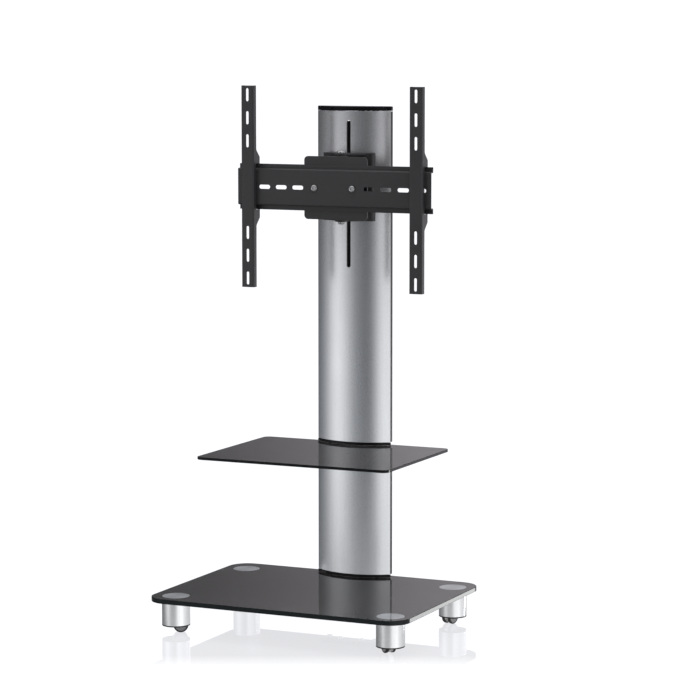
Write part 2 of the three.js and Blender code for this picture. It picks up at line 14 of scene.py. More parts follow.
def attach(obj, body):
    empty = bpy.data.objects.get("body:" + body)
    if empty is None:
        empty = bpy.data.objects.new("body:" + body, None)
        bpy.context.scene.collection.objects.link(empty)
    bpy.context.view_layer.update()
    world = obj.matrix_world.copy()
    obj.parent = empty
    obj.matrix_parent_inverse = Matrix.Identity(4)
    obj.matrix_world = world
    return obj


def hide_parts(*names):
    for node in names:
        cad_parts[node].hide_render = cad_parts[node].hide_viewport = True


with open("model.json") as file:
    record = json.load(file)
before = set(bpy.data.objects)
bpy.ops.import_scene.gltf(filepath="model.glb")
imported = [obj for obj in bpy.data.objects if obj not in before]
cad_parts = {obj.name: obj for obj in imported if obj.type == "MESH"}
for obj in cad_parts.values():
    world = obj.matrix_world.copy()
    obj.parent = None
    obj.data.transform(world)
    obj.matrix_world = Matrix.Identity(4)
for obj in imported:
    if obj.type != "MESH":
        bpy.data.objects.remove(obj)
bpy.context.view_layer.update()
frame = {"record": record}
RECORD = frame["record"]
BODY_OF = {n: b for b, ns in RECORD["behaviour"]["bodies"].items() for n in ns}

# ------------------------------------------------------------------ sizes (mm)
GAP = 0.3
BASE_W, BASE_D, BASE_T, BASE_R, BASE_TOP = 600, 444, 10, 45, 80
SHELF_W, SHELF_FRONT, SHELF_BACK, SHELF_T, SHELF_R, SHELF_TOP = 450, -127, 213, 6, 15, 375.7
FOOT_X, FOOT_Y, FOOT_R, SLEEVE_RI = 252, 167, 30.25, 28.2
FOOT_BOTTOM, RIM_H, DISC_R, DISC_LIP, DECK_Z0, DECK_Z1 = 15, 2.1, 30, 3.3, 47, 51
WHEEL_R, WHEEL_T, HOOD_T, TRAIL, AXLE_R, PIN_R = 16, 6, 10.5, 9.5, 2.3, 3.5
YAW = {"front_left": 33, "front_right": 139, "rear_right": 255, "rear_left": 60}
FEET = {"front_left": (-FOOT_X, -FOOT_Y), "front_right": (FOOT_X, -FOOT_Y),
        "rear_right": (FOOT_X, FOOT_Y), "rear_left": (-FOOT_X, FOOT_Y)}
COL_HW, COL_FRONT, COL_REAR, COL_WALL, COL_LIP = 88, 170.1, 201.1, 3, 18
COVER_BACK, COVER_WALL, COLLAR_PROUD, COLLAR_H = 211.0, 2.5, 0.8, 6.3
COLUMN_TOP, CAP_H, OUTLET_HW, OUTLET_H = 1110, 10, 25, 22
PORTS = [(-56, 191), (56, 191), (-26, 182), (26, 182)]
PORT_R, PORT_BORE = 8, 4.5
MOUNT_Z, PIVOT_Y, PIVOT_R = 945, 133, 5
SLOT_HW, SLOT_Z0, SLOT_Z1 = 5, 768, 1090
RAIL_HW, RAIL_H, RAIL_T, RAIL_FRONT, RAIL_REAR, RAIL_LIP = 230, 80, 2.5, 90.5, 102.7, 10
ARM_X, ARM_HW, ARM_T, ARM_FRONT, ARM_Z0, ARM_Z1 = 200, 15, 2.5, 77, 725, 1165
ARM_TAIL, ARM_REAR, LOCK_Y = 91, 107.5, 101.4

COL_RAD = (COL_HW ** 2 + (COL_REAR - COL_FRONT) ** 2) / (2 * (COL_REAR - COL_FRONT))
COL_CY = COL_FRONT + COL_RAD


# ------------------------------------------------------------------ flat outlines
def area2(p):
    return sum(p[i - 1][0] * p[i][1] - p[i][0] * p[i - 1][1] for i in range(len(p))) / 2


def wound(p, ccw=True):
    return list(p) if (area2(p) > 0) == ccw else list(reversed(p))


def circle(x, y, r, n=48, start=0.0):
    return [(x + r * math.cos(start + 2 * math.pi * i / n), y + r * math.sin(start + 2 * math.pi * i / n))
            for i in range(n)]


def rrect(x0, x1, y0, y1, r, k=24):
    out = []
    for cx, cy, a0 in ((x1 - r, y0 + r, -90), (x1 - r, y1 - r, 0), (x0 + r, y1 - r, 90), (x0 + r, y0 + r, 180)):
        for i in range(k + 1):
            a = math.radians(a0 + 90 * i / k)
            out.append((cx + r * math.cos(a), cy + r * math.sin(a)))
    return out


def oblong(x, y, hl, r, along_x=True, k=12):
    pts = []
    for s, a0 in ((1, -90), (-1, 90)):
        for i in range(k + 1):
            a = math.radians(a0 + 180 * i / k)
            pts.append((s * hl + r * math.cos(a), r * math.sin(a)))
    if not along_x:
        pts = [(-v, u) for u, v in pts]
    return [(x + u, y + v) for u, v in pts]


def soften(pts, r=0.5, k=4, closed=True, radii=None):
    """Round the corners of an outline; radii maps a point's index to its own radius."""
    n = len(pts)
    out = []
    for i, p in enumerate(pts):
        if not closed and i in (0, n - 1):
            out.append(p)
            continue
        rr = r if radii is None or i not in radii else radii[i]
        a, b = Vector(pts[i - 1]) - Vector(p), Vector(pts[(i + 1) % n]) - Vector(p)
        la, lb = a.length, b.length
        if rr <= 0 or la < 1e-6 or lb < 1e-6:
            out.append(p)
            continue
        a, b = a / la, b / lb
        phi = math.acos(max(-1, min(1, a.dot(b))))
        if phi > math.radians(172) or phi < 1e-3:
            out.append(p)
            continue
        t = min(rr / math.tan(phi / 2), 0.48 * la, 0.48 * lb)
        re = t * math.tan(phi / 2)
        c = Vector(p) + (a + b).normalized() * (re / math.sin(phi / 2))
        s, e = Vector(p) + a * t - c, Vector(p) + b * t - c
        turn = math.pi - phi
        for j in range(k + 1):
            f = j / k
            w0 = math.sin((1 - f) * turn) / math.sin(turn)
            w1 = math.sin(f * turn) / math.sin(turn)
            q = c + s * w0 + e * w1
            out.append((q.x, q.y))
    return out


def inset(p, d):
    """Move a loop to its left by d, keeping its corners."""
    if abs(d) < 1e-9:
        return list(p)
    n = len(p)
    out = []
    for i in range(n):
        a, b, c = Vector(p[i - 1]), Vector(p[i]), Vector(p[(i + 1) % n])
        e, f = (b - a), (c - b)
        if e.length < 1e-9 or f.length < 1e-9:
            out.append(p[i])
            continue
        e.normalize()
        f.normalize()
        m = Vector((-e.y - f.y, e.x + f.x))
        if m.length < 1e-6:
            out.append(p[i])
            continue
        m.normalize()
        cosine = max(0.35, m.dot(Vector((-e.y, e.x))))
        q = b + m * (d / cosine)
        out.append((q.x, q.y))
    return out


def front_arc(r, y_end, n=72):
    a = math.acos((COL_CY - y_end) / r)
    return [(r * math.sin(-a + 2 * a * i / n), COL_CY - r * math.cos(-a + 2 * a * i / n)) for i in range(n + 1)]


# ------------------------------------------------------------------ solids
class Part:
    def __init__(self):
        self.v, self.f, self.m, self.c = [], [], [], []

    def face(self, ids, m=0, cap=0):
        self.f.append(tuple(ids))
        self.m.append(m)
        self.c.append(cap)

    def add(self, other):
        k = len(self.v)
        self.v += other.v
        for f, m, c in zip(other.f, other.m, other.c):
            self.face([i + k for i in f], m, c)
        return self

    def oriented(self):
        vol = 0.0
        for f in self.f:
            a = self.v[f[0]]
            for i in range(1, len(f) - 1):
                vol += a.dot(self.v[f[i]].cross(self.v[f[i + 1]]))
        if vol < 0:
            self.f = [tuple(reversed(f)) for f in self.f]
        return self

    def moved(self, fn):
        self.v = [Vector(fn(*p)) for p in self.v]
        return self.oriented()


def join(*parts):
    out = Part()
    for p in parts:
        out.add(p)
    return out


def lathe(profile, n=96, m=0, closed=True):
    """Turn a closed profile of (radius, height) round Z."""
    part = Part()
    rings = []
    for r, z in profile:
        if r < 1e-6:
            part.v.append(Vector((0, 0, z)))
            rings.append([len(part.v) - 1])
        else:
            k = len(part.v)
            for i in range(n):
                a = 2 * math.pi * i / n
                part.v.append(Vector((r * math.cos(a), r * math.sin(a), z)))
            rings.append(list(range(k, k + n)))
    count = len(rings) if closed else len(rings) - 1
    for j in range(count):
        a, b = rings[j], rings[(j + 1) % len(rings)]
        if len(a) == 1 and len(b) == 1:
            continue
        for i in range(n):
            i2 = (i + 1) % n
            if len(a) == 1:
                part.face((a[0], b[i], b[i2]), m)
            elif len(b) == 1:
                part.face((a[i], b[0], a[i2]), m)
            else:
                part.face((a[i], b[i], b[i2], a[i2]), m)
    return part.oriented()


def slab(outer, holes, z0, z1, a0=0.4, a1=None, k=3, m=0, m_top=None, m_bottom=None, windows=(), m_window=0, a_hole=None):
    """Plate of an outline with rounded edges; windows are areas of the underside with their own finish."""
    a1 = a0 if a1 is None else a1
    m_top = m if m_top is None else m_top
    m_bottom = m if m_bottom is None else m_bottom
    part = Part()
    loops = [wound(outer)] + [wound(h, False) for h in holes]
    bottoms, tops = [], []
    for li, loop in enumerate(loops):
        b0, b1 = (a0, a1) if li == 0 or a_hole is None else (a_hole, a_hole)
        levels = []
        if b0 > 0:
            levels += [(b0 * (1 - math.sin(math.pi / 2 * j / k)), z0 + b0 * (1 - math.cos(math.pi / 2 * j / k))) for j in range(k + 1)]
        else:
            levels.append((0, z0))
        if b1 > 0:
            levels += [(b1 * (1 - math.cos(math.pi / 2 * j / k)), z1 - b1 * (1 - math.sin(math.pi / 2 * j / k))) for j in range(k + 1)]
        else:
            levels.append((0, z1))
        rings = []
        for d, z in levels:
            s = len(part.v)
            part.v += [Vector((x, y, z)) for x, y in inset(loop, d)]
            rings.append(list(range(s, s + len(loop))))
        for a, b in zip(rings, rings[1:]):
            n = len(a)
            for i in range(n):
                i2 = (i + 1) % n
                part.face((a[i], a[i2], b[i2], b[i]), m)
        bottoms.append(rings[0])
        tops.append(rings[-1])
    flat = [i for r in tops for i in r]
    for t in tessellate_polygon([[part.v[i] for i in r] for r in tops]):
        a, b, c = (flat[i] for i in t)
        if (part.v[b] - part.v[a]).cross(part.v[c] - part.v[a]).z < 0:
            b, c = c, b
        part.face((a, b, c), m_top, 1)
    for w in windows:
        s = len(part.v)
        w = wound(w, False)
        part.v += [Vector((x, y, z0)) for x, y in w]
        ring = list(range(s, s + len(w)))
        bottoms.append(ring)
        part.face(ring, m_window, 2)
    flat = [i for r in bottoms for i in r]
    for t in tessellate_polygon([[part.v[i] for i in r] for r in bottoms]):
        a, b, c = (flat[i] for i in t)
        if (part.v[b] - part.v[a]).cross(part.v[c] - part.v[a]).z > 0:
            b, c = c, b
        part.face((a, b, c), m_bottom, 1)
    return part


def along_y(part, y0=0.0):
    """Outline in X, Z and thickness in Y."""
    return part.moved(lambda x, y, z: (x, y0 + z, y))


def along_x(part, x0=0.0):
    """Outline in Y, Z and thickness in X."""
    return part.moved(lambda x, y, z: (x0 + z, x, y))


def shifted(part, dx=0.0, dy=0.0, dz=0.0):
    return part.moved(lambda x, y, z: (x + dx, y + dy, z + dz))


def turned_y(part, x, z):
    """A turned piece with its axis along Y; heights become Y."""
    return part.moved(lambda a, b, c: (x + a, c, z + b))


def mesh_of(part, name):
    me = bpy.data.meshes.new(name)
    me.from_pydata([v * 0.001 for v in part.v], [], part.f)
    layer = me.attributes.new("cap", "INT", "FACE")
    layer.data.foreach_set("value", part.c)
    me.polygons.foreach_set("material_index", part.m)
    me.validate()
    me.update()
    return me


def shade(me, limit=32.0):
    """Smooth curved runs, and keep edges and flat faces crisp."""
    bm = bmesh.new()
    bm.from_mesh(me)
    bmesh.ops.remove_doubles(bm, verts=bm.verts, dist=1e-7)
    cap = bm.faces.layers.int.get("cap")
    for f in bm.faces:
        f.smooth = True
    for e in bm.edges:
        if len(e.link_faces) != 2:
            e.smooth = False
            continue
        f, g = e.link_faces
        t = math.degrees(e.calc_face_angle(0.0))
        sharp = t > limit
        if not sharp and t > 0.8:
            if cap and f[cap] != g[cap]:
                sharp = True
            else:
                size = e.calc_length() or 1e-9
                a, b = f.calc_area() / size, g.calc_area() / size
                sharp = max(a, b) > 4 * min(a, b)
        e.smooth = not sharp
    bm.to_mesh(me)
    bm.free()


def cut(part, adds=(), cuts=(), name="work"):
    """Join and cut solids, and give back one mesh."""
    scene = bpy.context.scene
    base = bpy.data.objects.new(name, mesh_of(part, name))
    scene.collection.objects.link(base)
    tools = []
    for op, group in (("UNION", adds), ("DIFFERENCE", cuts)):
        for tool in group:
            o = bpy.data.objects.new(name + "_tool", mesh_of(tool, name + "_tool"))
            scene.collection.objects.link(o)
            tools.append(o)
            mod = base.modifiers.new("b", "BOOLEAN")
            mod.operation, mod.solver, mod.object = op, "EXACT", o
    dg = bpy.context.evaluated_depsgraph_get()
    me = bpy.data.meshes.new_from_object(base.evaluated_get(dg), depsgraph=dg)
    for o in [base] + tools:
        old = o.data
        bpy.data.objects.remove(o)
        bpy.data.meshes.remove(old)
    return me


def make(node, shape, mats, bevel=0.0, limit=32.0):
    """One shown piece that stands for a frame node and rides on the node's body."""
    name = node + "_fine"
    me = mesh_of(shape, name) if isinstance(shape, Part) else shape
    me.name = name
    while len(me.materials):
        me.materials.pop(index=0)
    for m in mats:
        me.materials.append(m)
    o = bpy.data.objects.new(name, me)
    bpy.context.scene.collection.objects.link(o)
    if bevel:
        bm = bmesh.new()
        bm.from_mesh(me)
        bmesh.ops.remove_doubles(bm, verts=bm.verts, dist=2e-7)
        bmesh.ops.dissolve_degenerate(bm, dist=1e-6, edges=bm.edges)
        bm.to_mesh(me)
        bm.free()
        mod = o.modifiers.new("edge", "BEVEL")
        mod.width, mod.segments, mod.limit_method, mod.angle_limit = bevel * 0.001, 2, "ANGLE", math.radians(40)
        mod.miter_outer, mod.use_clamp_overlap = "MITER_ARC", True
        dg = bpy.context.evaluated_depsgraph_get()
        fresh = bpy.data.meshes.new_from_object(o.evaluated_get(dg), depsgraph=dg)
        o.modifiers.clear()
        o.data = fresh
        bpy.data.meshes.remove(me)
        fresh.name = name
        me = fresh
    shade(me, limit)
    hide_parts(node)
    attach(o, BODY_OF[node])
    return o


# ------------------------------------------------------------------ materials
class Nodes:
    """Short hand for a material's node tree."""

    def __init__(self, name):
        self.mat = bpy.data.materials.new(name)
        self.mat.use_nodes = True
        self.t = self.mat.node_tree
        self.t.nodes.clear()
        self.out = self.t.nodes.new("ShaderNodeOutputMaterial")

    def new(self, kind, **values):
        n = self.t.nodes.new("ShaderNode" + kind)
        for key, v in values.items():
            if key in n.inputs:
                self.set(n.inputs[key], v)
            elif key.replace("_", " ") in n.inputs:
                self.set(n.inputs[key.replace("_", " ")], v)
            else:
                setattr(n, key, v)
        return n

    def set(self, socket, v):
        if isinstance(v, bpy.types.NodeSocket):
            self.t.links.new(v, socket)
        elif isinstance(v, (tuple, list)) and len(v) == 3 and socket.type == "RGBA":
            socket.default_value = (*v, 1.0)
        else:
            socket.default_value = v

    def coords(self, scale=(1, 1, 1)):
        n = self.new("TexCoord")
        m = self.new("Mapping")
        self.t.links.new(n.outputs["Object"], m.inputs["Vector"])
        m.inputs["Scale"].default_value = scale
        return m.outputs["Vector"]

    def noise(self, vec, scale, detail=3.0, rough=0.5):
        n = self.new("TexNoise", Vector=vec, Scale=scale, Detail=detail, Roughness=rough)
        return n.outputs["Fac"]

    def math(self, op, a, b=0.0, c=None):
        n = self.new("Math", operation=op)
        self.set(n.inputs[0], a)
        self.set(n.inputs[1], b)
        if c is not None:
            self.set(n.inputs[2], c)
        return n.outputs[0]

    def between(self, fac, low, high, f0=0.0, f1=1.0):
        n = self.new("MapRange")
        self.set(n.inputs["Value"], fac)
        n.inputs["From Min"].default_value = f0
        n.inputs["From Max"].default_value = f1
        n.inputs["To Min"].default_value = low
        n.inputs["To Max"].default_value = high
        return n.outputs["Result"]

    def mix(self, fac, a, b):
        n = self.new("Mix", data_type="RGBA")
        self.set(n.inputs["Factor"], fac)
        self.set(n.inputs[6], a)
        self.set(n.inputs[7], b)
        return n.outputs[2]

    def bump(self, height, strength, distance, normal=None):
        n = self.new("Bump")
        n.inputs["Strength"].default_value = strength
        n.inputs["Distance"].default_value = distance
        self.set(n.inputs["Height"], height)
        if normal is not None:
            self.set(n.inputs["Normal"], normal)
        return n.outputs["Normal"]

    def surface(self, shader):
        self.t.links.new(shader, self.out.inputs["Surface"])
        return self.mat

    def not_in_satin(self, shader, share=1.0):
        """Leave a piece (or a share of it) out of blurred mirror images, which would darken the satin metal beside it."""
        path = self.new("LightPath")
        clear = self.new("BsdfTransparent", Color=(1.0, 1.0, 1.0))
        if share < 1.0:
            part = self.new("MixShader")
            part.inputs[0].default_value = share
            self.t.links.new(shader, part.inputs[1])
            self.t.links.new(clear.outputs[0], part.inputs[2])
            clear = part
        for name, a, b in (("Is Singular Ray", clear.outputs[0], shader), ("Is Reflection Ray", shader, None), ("Is Glossy Ray", shader, None)):
            m = self.new("MixShader")
            self.t.links.new(path.outputs[name], m.inputs[0])
            self.t.links.new(a, m.inputs[1])
            self.t.links.new(b if b is not None else last, m.inputs[2])
            last = m.outputs[0]
        return last

    def principled(self, **values):
        n = self.t.nodes.new("ShaderNodeBsdfPrincipled")
        for key, v in values.items():
            self.set(n.inputs[key.replace("_", " ")], v)
        return n


def make_glass():
    n = Nodes("clear_glass")
    v = n.coords()
    smear = n.noise(v, 9.0, 4.0, 0.6)
    bsdf = n.principled(Base_Color=(0.955, 0.972, 0.972), Roughness=n.between(smear, 0.022, 0.034, 0.45, 0.8),
                        IOR=1.52, Normal=n.bump(n.noise(v, 6.0, 1.0), 0.02, 0.001))
    bsdf.inputs["Transmission Weight"].default_value = 1.0
    shadow = n.new("LightPath").outputs["Is Shadow Ray"]
    clear = n.new("BsdfTransparent", Color=(0.80, 0.90, 0.86))
    mixer = n.new("MixShader")
    n.set(mixer.inputs[0], shadow)
    n.t.links.new(bsdf.outputs[0], mixer.inputs[1])
    n.t.links.new(clear.outputs[0], mixer.inputs[2])
    return n.surface(n.not_in_satin(mixer.outputs[0]))


def make_edge(name="polished_glass_edge", low=(0.0015, 0.0036, 0.0041), high=(0.0028, 0.0064, 0.0072), ior=1.31):
    """Ground and polished edge of tinted plate: near black, with a green-blue body colour."""
    n = Nodes(name)
    v = n.coords()
    haze = n.noise(v, 120.0, 3.0, 0.6)
    strokes = n.noise(n.coords((1, 1, 14)), 160.0, 2.0, 0.5)
    c = n.mix(n.between(haze, 0.0, 1.0, 0.3, 0.7), low, high)
    b = n.principled(Base_Color=c, Roughness=n.between(strokes, 0.05, 0.085, 0.3, 0.7), IOR=ior,
                     Normal=n.bump(strokes, 0.02, 0.00003))
    return n.surface(n.not_in_satin(b.outputs[0]))


def make_lacquer():
    n = Nodes("black_lacquer")
    v = n.coords()
    c = n.mix(n.noise(v, 14.0, 3.0), (0.0175, 0.0150, 0.0165), (0.0225, 0.0195, 0.0212))
    b = n.principled(Base_Color=c, Roughness=n.between(n.noise(v, 60.0, 2.0), 0.32, 0.42),
                     Normal=n.bump(n.noise(v, 420.0, 2.0), 0.05, 0.0002))
    return n.surface(n.not_in_satin(b.outputs[0]))


def make_bonded():
    """Turned metal seen through the glass: fine rings round the nearest foot's centre."""
    n = Nodes("bonded_disc")
    sep = n.new("SeparateXYZ")
    n.t.links.new(n.new("TexCoord").outputs["Object"], sep.inputs[0])
    x, y = sep.outputs["X"], sep.outputs["Y"]
    dx = n.math("SUBTRACT", x, n.math("MULTIPLY", n.math("SIGN", x), FOOT_X / 1000))
    dy = n.math("SUBTRACT", y, n.math("MULTIPLY", n.math("SIGN", y), FOOT_Y / 1000))
    r = n.math("SQRT", n.math("ADD", n.math("MULTIPLY", dx, dx), n.math("MULTIPLY", dy, dy)))
    tangent = n.new("CombineXYZ")
    n.set(tangent.inputs[0], n.math("MULTIPLY", dy, -1.0))
    n.set(tangent.inputs[1], dx)
    norm = n.new("VectorMath", operation="NORMALIZE")
    n.t.links.new(tangent.outputs[0], norm.inputs[0])
    ring = n.new("CombineXYZ")
    n.set(ring.inputs[0], r)
    rings = n.noise(ring.outputs[0], 2600.0, 2.0)
    coarse = n.noise(ring.outputs[0], 420.0, 2.0)
    c = n.mix(n.between(coarse, 0.0, 1.0, 0.3, 0.7), (0.60, 0.63, 0.68), (0.80, 0.83, 0.875))
    # painted shade: a darker ring at the disc's outer edge stands for the rounded edge turning dark
    rim = n.between(r, 0.0, 1.0, 0.0288, 0.0291)
    c = n.mix(rim, c, (0.42, 0.45, 0.48))
    b = n.principled(Base_Color=c, Metallic=1.0, Roughness=n.between(rings, 0.27, 0.35),
                     Normal=n.bump(rings, 0.10, 0.00005))
    b.inputs["Anisotropic"].default_value = 0.94
    n.t.links.new(norm.outputs[0], b.inputs["Tangent"])
    return n.surface(n.not_in_satin(b.outputs[0]))


def make_column():
    """Satin anodised extrusion: fine blasted grain with faint drawing lines up the length."""
    n = Nodes("satin_aluminium")
    grain = n.noise(n.coords(), 1500.0, 2.0, 0.6)
    mid = n.noise(n.coords(), 260.0, 3.0, 0.6)
    lines = n.noise(n.coords((1, 1, 0.012)), 900.0, 2.0, 0.5)
    cloud = n.noise(n.coords(), 7.0, 3.0)
    tone = n.math("ADD", n.math("MULTIPLY", grain, 0.45), n.math("ADD", n.math("MULTIPLY", mid, 0.25), n.math("MULTIPLY", lines, 0.30)))
    c = n.mix(n.between(tone, 0.0, 1.0, 0.32, 0.68), (0.64, 0.655, 0.68), (0.80, 0.815, 0.835))
    rough = n.math("ADD", n.between(grain, 0.255, 0.325, 0.3, 0.7), n.between(cloud, -0.012, 0.012, 0.3, 0.7))
    normal = n.bump(lines, 0.10, 0.00006)
    normal = n.bump(grain, 0.16, 0.00010, normal)
    b = n.principled(Base_Color=c, Metallic=1.0, Roughness=rough, Normal=normal)
    return n.surface(b.outputs[0])


def radial_coords(n, cx, cy):
    sep = n.new("SeparateXYZ")
    n.t.links.new(n.new("TexCoord").outputs["Object"], sep.inputs[0])
    dx = n.math("SUBTRACT", sep.outputs["X"], cx)
    dy = n.math("SUBTRACT", sep.outputs["Y"], cy)
    r = n.math("SQRT", n.math("ADD", n.math("MULTIPLY", dx, dx), n.math("MULTIPLY", dy, dy)))
    return r, sep.outputs["Z"]


def make_sleeve():
    """Polished tube with faint turning lines round it."""
    n = Nodes("polished_sleeve")
    lines = n.noise(n.coords((0.02, 0.02, 1)), 3200.0, 2.0)
    cloud = n.noise(n.coords(), 40.0, 3.0)
    c = n.mix(cloud, (0.83, 0.845, 0.86), (0.90, 0.91, 0.92))
    rough = n.math("ADD", n.between(lines, 0.15, 0.20, 0.3, 0.7), n.between(cloud, -0.01, 0.012, 0.3, 0.7))
    b = n.principled(Base_Color=c, Metallic=1.0, Roughness=rough, Normal=n.bump(lines, 0.03, 0.00002))
    return n.surface(b.outputs[0])


def make_disc():
    n = Nodes("turned_disc")
    lines = n.noise(n.coords((0.02, 0.02, 1)), 3600.0, 2.0)
    c = n.mix(n.noise(n.coords(), 60.0, 2.0), (0.80, 0.825, 0.83), (0.89, 0.905, 0.905))
    b = n.principled(Base_Color=c, Metallic=1.0, Roughness=n.between(lines, 0.18, 0.26, 0.3, 0.7),
                     Normal=n.bump(lines, 0.10, 0.00004))
    return n.surface(b.outputs[0])


def make_gloss():
    n = Nodes("gloss_black_plastic")
    v = n.coords()
    peel = n.noise(v, 190.0, 2.0, 0.4)
    haze = n.noise(v, 24.0, 4.0, 0.6)
    c = n.mix(haze, (0.0022, 0.0020, 0.0026), (0.0040, 0.0037, 0.0046))
    b = n.principled(Base_Color=c, Roughness=n.between(haze, 0.10, 0.19, 0.35, 0.75), IOR=1.24,
                     Normal=n.bump(peel, 0.05, 0.0003))
    return n.surface(b.outputs[0])


def make_matte(name="matte_black_plastic", low=(0.022, 0.022, 0.024), high=(0.034, 0.034, 0.036), grain=1100.0, rough=(0.46, 0.58), share=0.0):
    n = Nodes(name)
    v = n.coords()
    g = n.noise(v, grain, 3.0, 0.55)
    cloud = n.noise(v, 18.0, 3.0)
    c = n.mix(cloud, low, high)
    b = n.principled(Base_Color=c, Roughness=n.between(g, rough[0], rough[1], 0.3, 0.7), IOR=1.48,
                     Normal=n.bump(g, 0.35, 0.00018))
    return n.surface(n.not_in_satin(b.outputs[0], share) if share else b.outputs[0])


def make_wheel():
    """Moulded wheel: satin face, with a little dust on the tread."""
    n = Nodes("wheel_plastic")
    v = n.coords()
    g = n.noise(v, 900.0, 3.0, 0.6)
    dust = n.noise(v, 240.0, 4.0, 0.7)
    c = n.mix(n.between(dust, 0.0, 1.0, 0.45, 0.75), (0.022, 0.022, 0.024), (0.050, 0.049, 0.049))
    b = n.principled(Base_Color=c, Roughness=n.between(g, 0.34, 0.50, 0.3, 0.7), IOR=1.5, Normal=n.bump(g, 0.2, 0.0001))
    return n.surface(b.outputs[0])


def make_zinc():
    n = Nodes("zinc_plate")
    v = n.coords()
    patch = n.noise(v, 150.0, 4.0, 0.65)
    fine = n.noise(v, 1400.0, 2.0)
    c = n.mix(n.between(patch, 0.0, 1.0, 0.35, 0.65), (0.55, 0.565, 0.60), (0.68, 0.68, 0.67))
    b = n.principled(Base_Color=c, Metallic=1.0, Roughness=n.between(patch, 0.24, 0.36, 0.3, 0.7),
                     Normal=n.bump(fine, 0.08, 0.00006))
    return n.surface(b.outputs[0])


def make_cast():
    n = Nodes("plated_casting")
    v = n.coords()
    fine = n.noise(v, 700.0, 3.0, 0.6)
    c = n.mix(n.noise(v, 90.0, 3.0), (0.78, 0.78, 0.79), (0.88, 0.88, 0.88))
    b = n.principled(Base_Color=c, Metallic=0.7, Roughness=n.between(fine, 0.16, 0.28, 0.3, 0.7),
                     Normal=n.bump(fine, 0.12, 0.0001))
    return n.surface(b.outputs[0])


def make_coat():
    """Black powder coat with its orange peel."""
    n = Nodes("black_powder_coat")
    v = n.coords()
    peel = n.noise(v, 520.0, 2.0, 0.45)
    fine = n.noise(v, 2200.0, 2.0)
    cloud = n.noise(v, 12.0, 3.0)
    c = n.mix(cloud, (0.016, 0.016, 0.0175), (0.023, 0.023, 0.0245))
    rough = n.math("ADD", n.between(fine, 0.36, 0.46, 0.3, 0.7), n.between(cloud, -0.02, 0.03, 0.3, 0.7))
    b = n.principled(Base_Color=c, Roughness=rough, IOR=1.5, Normal=n.bump(peel, 0.30, 0.00025))
    return n.surface(b.outputs[0])


GLASS, LACQUER, BONDED, EDGE = make_glass(), make_lacquer(), make_bonded(), make_edge()
SHELF_EDGE = make_edge("polished_shelf_edge", (0.0010, 0.0017, 0.0018), (0.0018, 0.0030, 0.0032), 1.25)
COLUMN, SLEEVE, DISC = make_column(), make_sleeve(), make_disc()
GLOSS, MATTE = make_gloss(), make_matte()
COVER = make_matte("cover_black_plastic", (0.012, 0.012, 0.013), (0.020, 0.020, 0.0215), 1100.0, (0.42, 0.54), 0.6)
RUBBER = make_matte("rubber_pad", (0.016, 0.016, 0.016), (0.028, 0.028, 0.027), 700.0, (0.72, 0.86))
RIM = make_matte("moulded_rim", (0.0065, 0.0065, 0.007), (0.010, 0.010, 0.011), 900.0, (0.34, 0.44))
WHEEL, ZINC, CAST, COAT = make_wheel(), make_zinc(), make_cast(), make_coat()
FACE = make_matte("wheel_face_plastic", (0.24, 0.24, 0.25), (0.32, 0.32, 0.33), 900.0, (0.34, 0.46))

# ------------------------------------------------------------------ glass plates
rods = [circle(x, y, 5, 32) for x, y in PORTS]
make("base_glass", slab(
    rrect(-BASE_W / 2, BASE_W / 2, -BASE_D / 2, BASE_D / 2, BASE_R, 28), rods,
    BASE_TOP - BASE_T, BASE_TOP, 0.9, k=3, m=3, m_top=0, m_bottom=1, a_hole=0.3,
    windows=[circle(x, y, DISC_R - 0.2, 72) for x, y in FEET.values()], m_window=2), [GLASS, LACQUER, BONDED, EDGE])

SHELF_Z0 = SHELF_TOP - SHELF_T
make("shelf_glass", slab(
    rrect(-SHELF_W / 2, SHELF_W / 2, SHELF_FRONT, SHELF_BACK, SHELF_R, 18), rods + [oblong(0, 187, 6, 8)],
    SHELF_Z0, SHELF_TOP, 0.7, k=3, m=2, m_top=0, m_bottom=1, a_hole=0.3), [GLASS, LACQUER, SHELF_EDGE])

# ------------------------------------------------------------------ clamp plate, collars, pad
make("base_clamp_plate", slab(rrect(-72, 72, 171, 203, 10, 10), rods,
                              BASE_TOP - BASE_T - GAP - 4, BASE_TOP - BASE_T - GAP, 0.5, a_hole=0.3), [COAT])


def collar(proud, z0, z1, a, k=3):
    arc = front_arc(COL_RAD + proud, COL_REAR, 96)
    n = len(arc)
    outer = soften(wound(arc), 1.2, 5, radii={i: 0 for i in range(1, n - 1)})
    return slab(outer, [rrect(-17, 17, 177, 197, 5, 8)] + rods, z0, z1, a, k=k, a_hole=0.25)


C0 = BASE_TOP + GAP
C1 = C0 + COLLAR_H - GAP
make("base_collar", collar(COLLAR_PROUD, C0, C1, 0.9, 4), [GLOSS])
PAD1 = SHELF_Z0 - GAP
PAD0 = PAD1 - 2
make("shelf_pad", collar(0, PAD0, PAD1, 0.35, 2), [RUBBER])
S0 = SHELF_TOP + GAP
S1 = S0 + COLLAR_H - GAP
make("shelf_collar", collar(COLLAR_PROUD, S0, S1, 0.9, 4), [GLOSS])


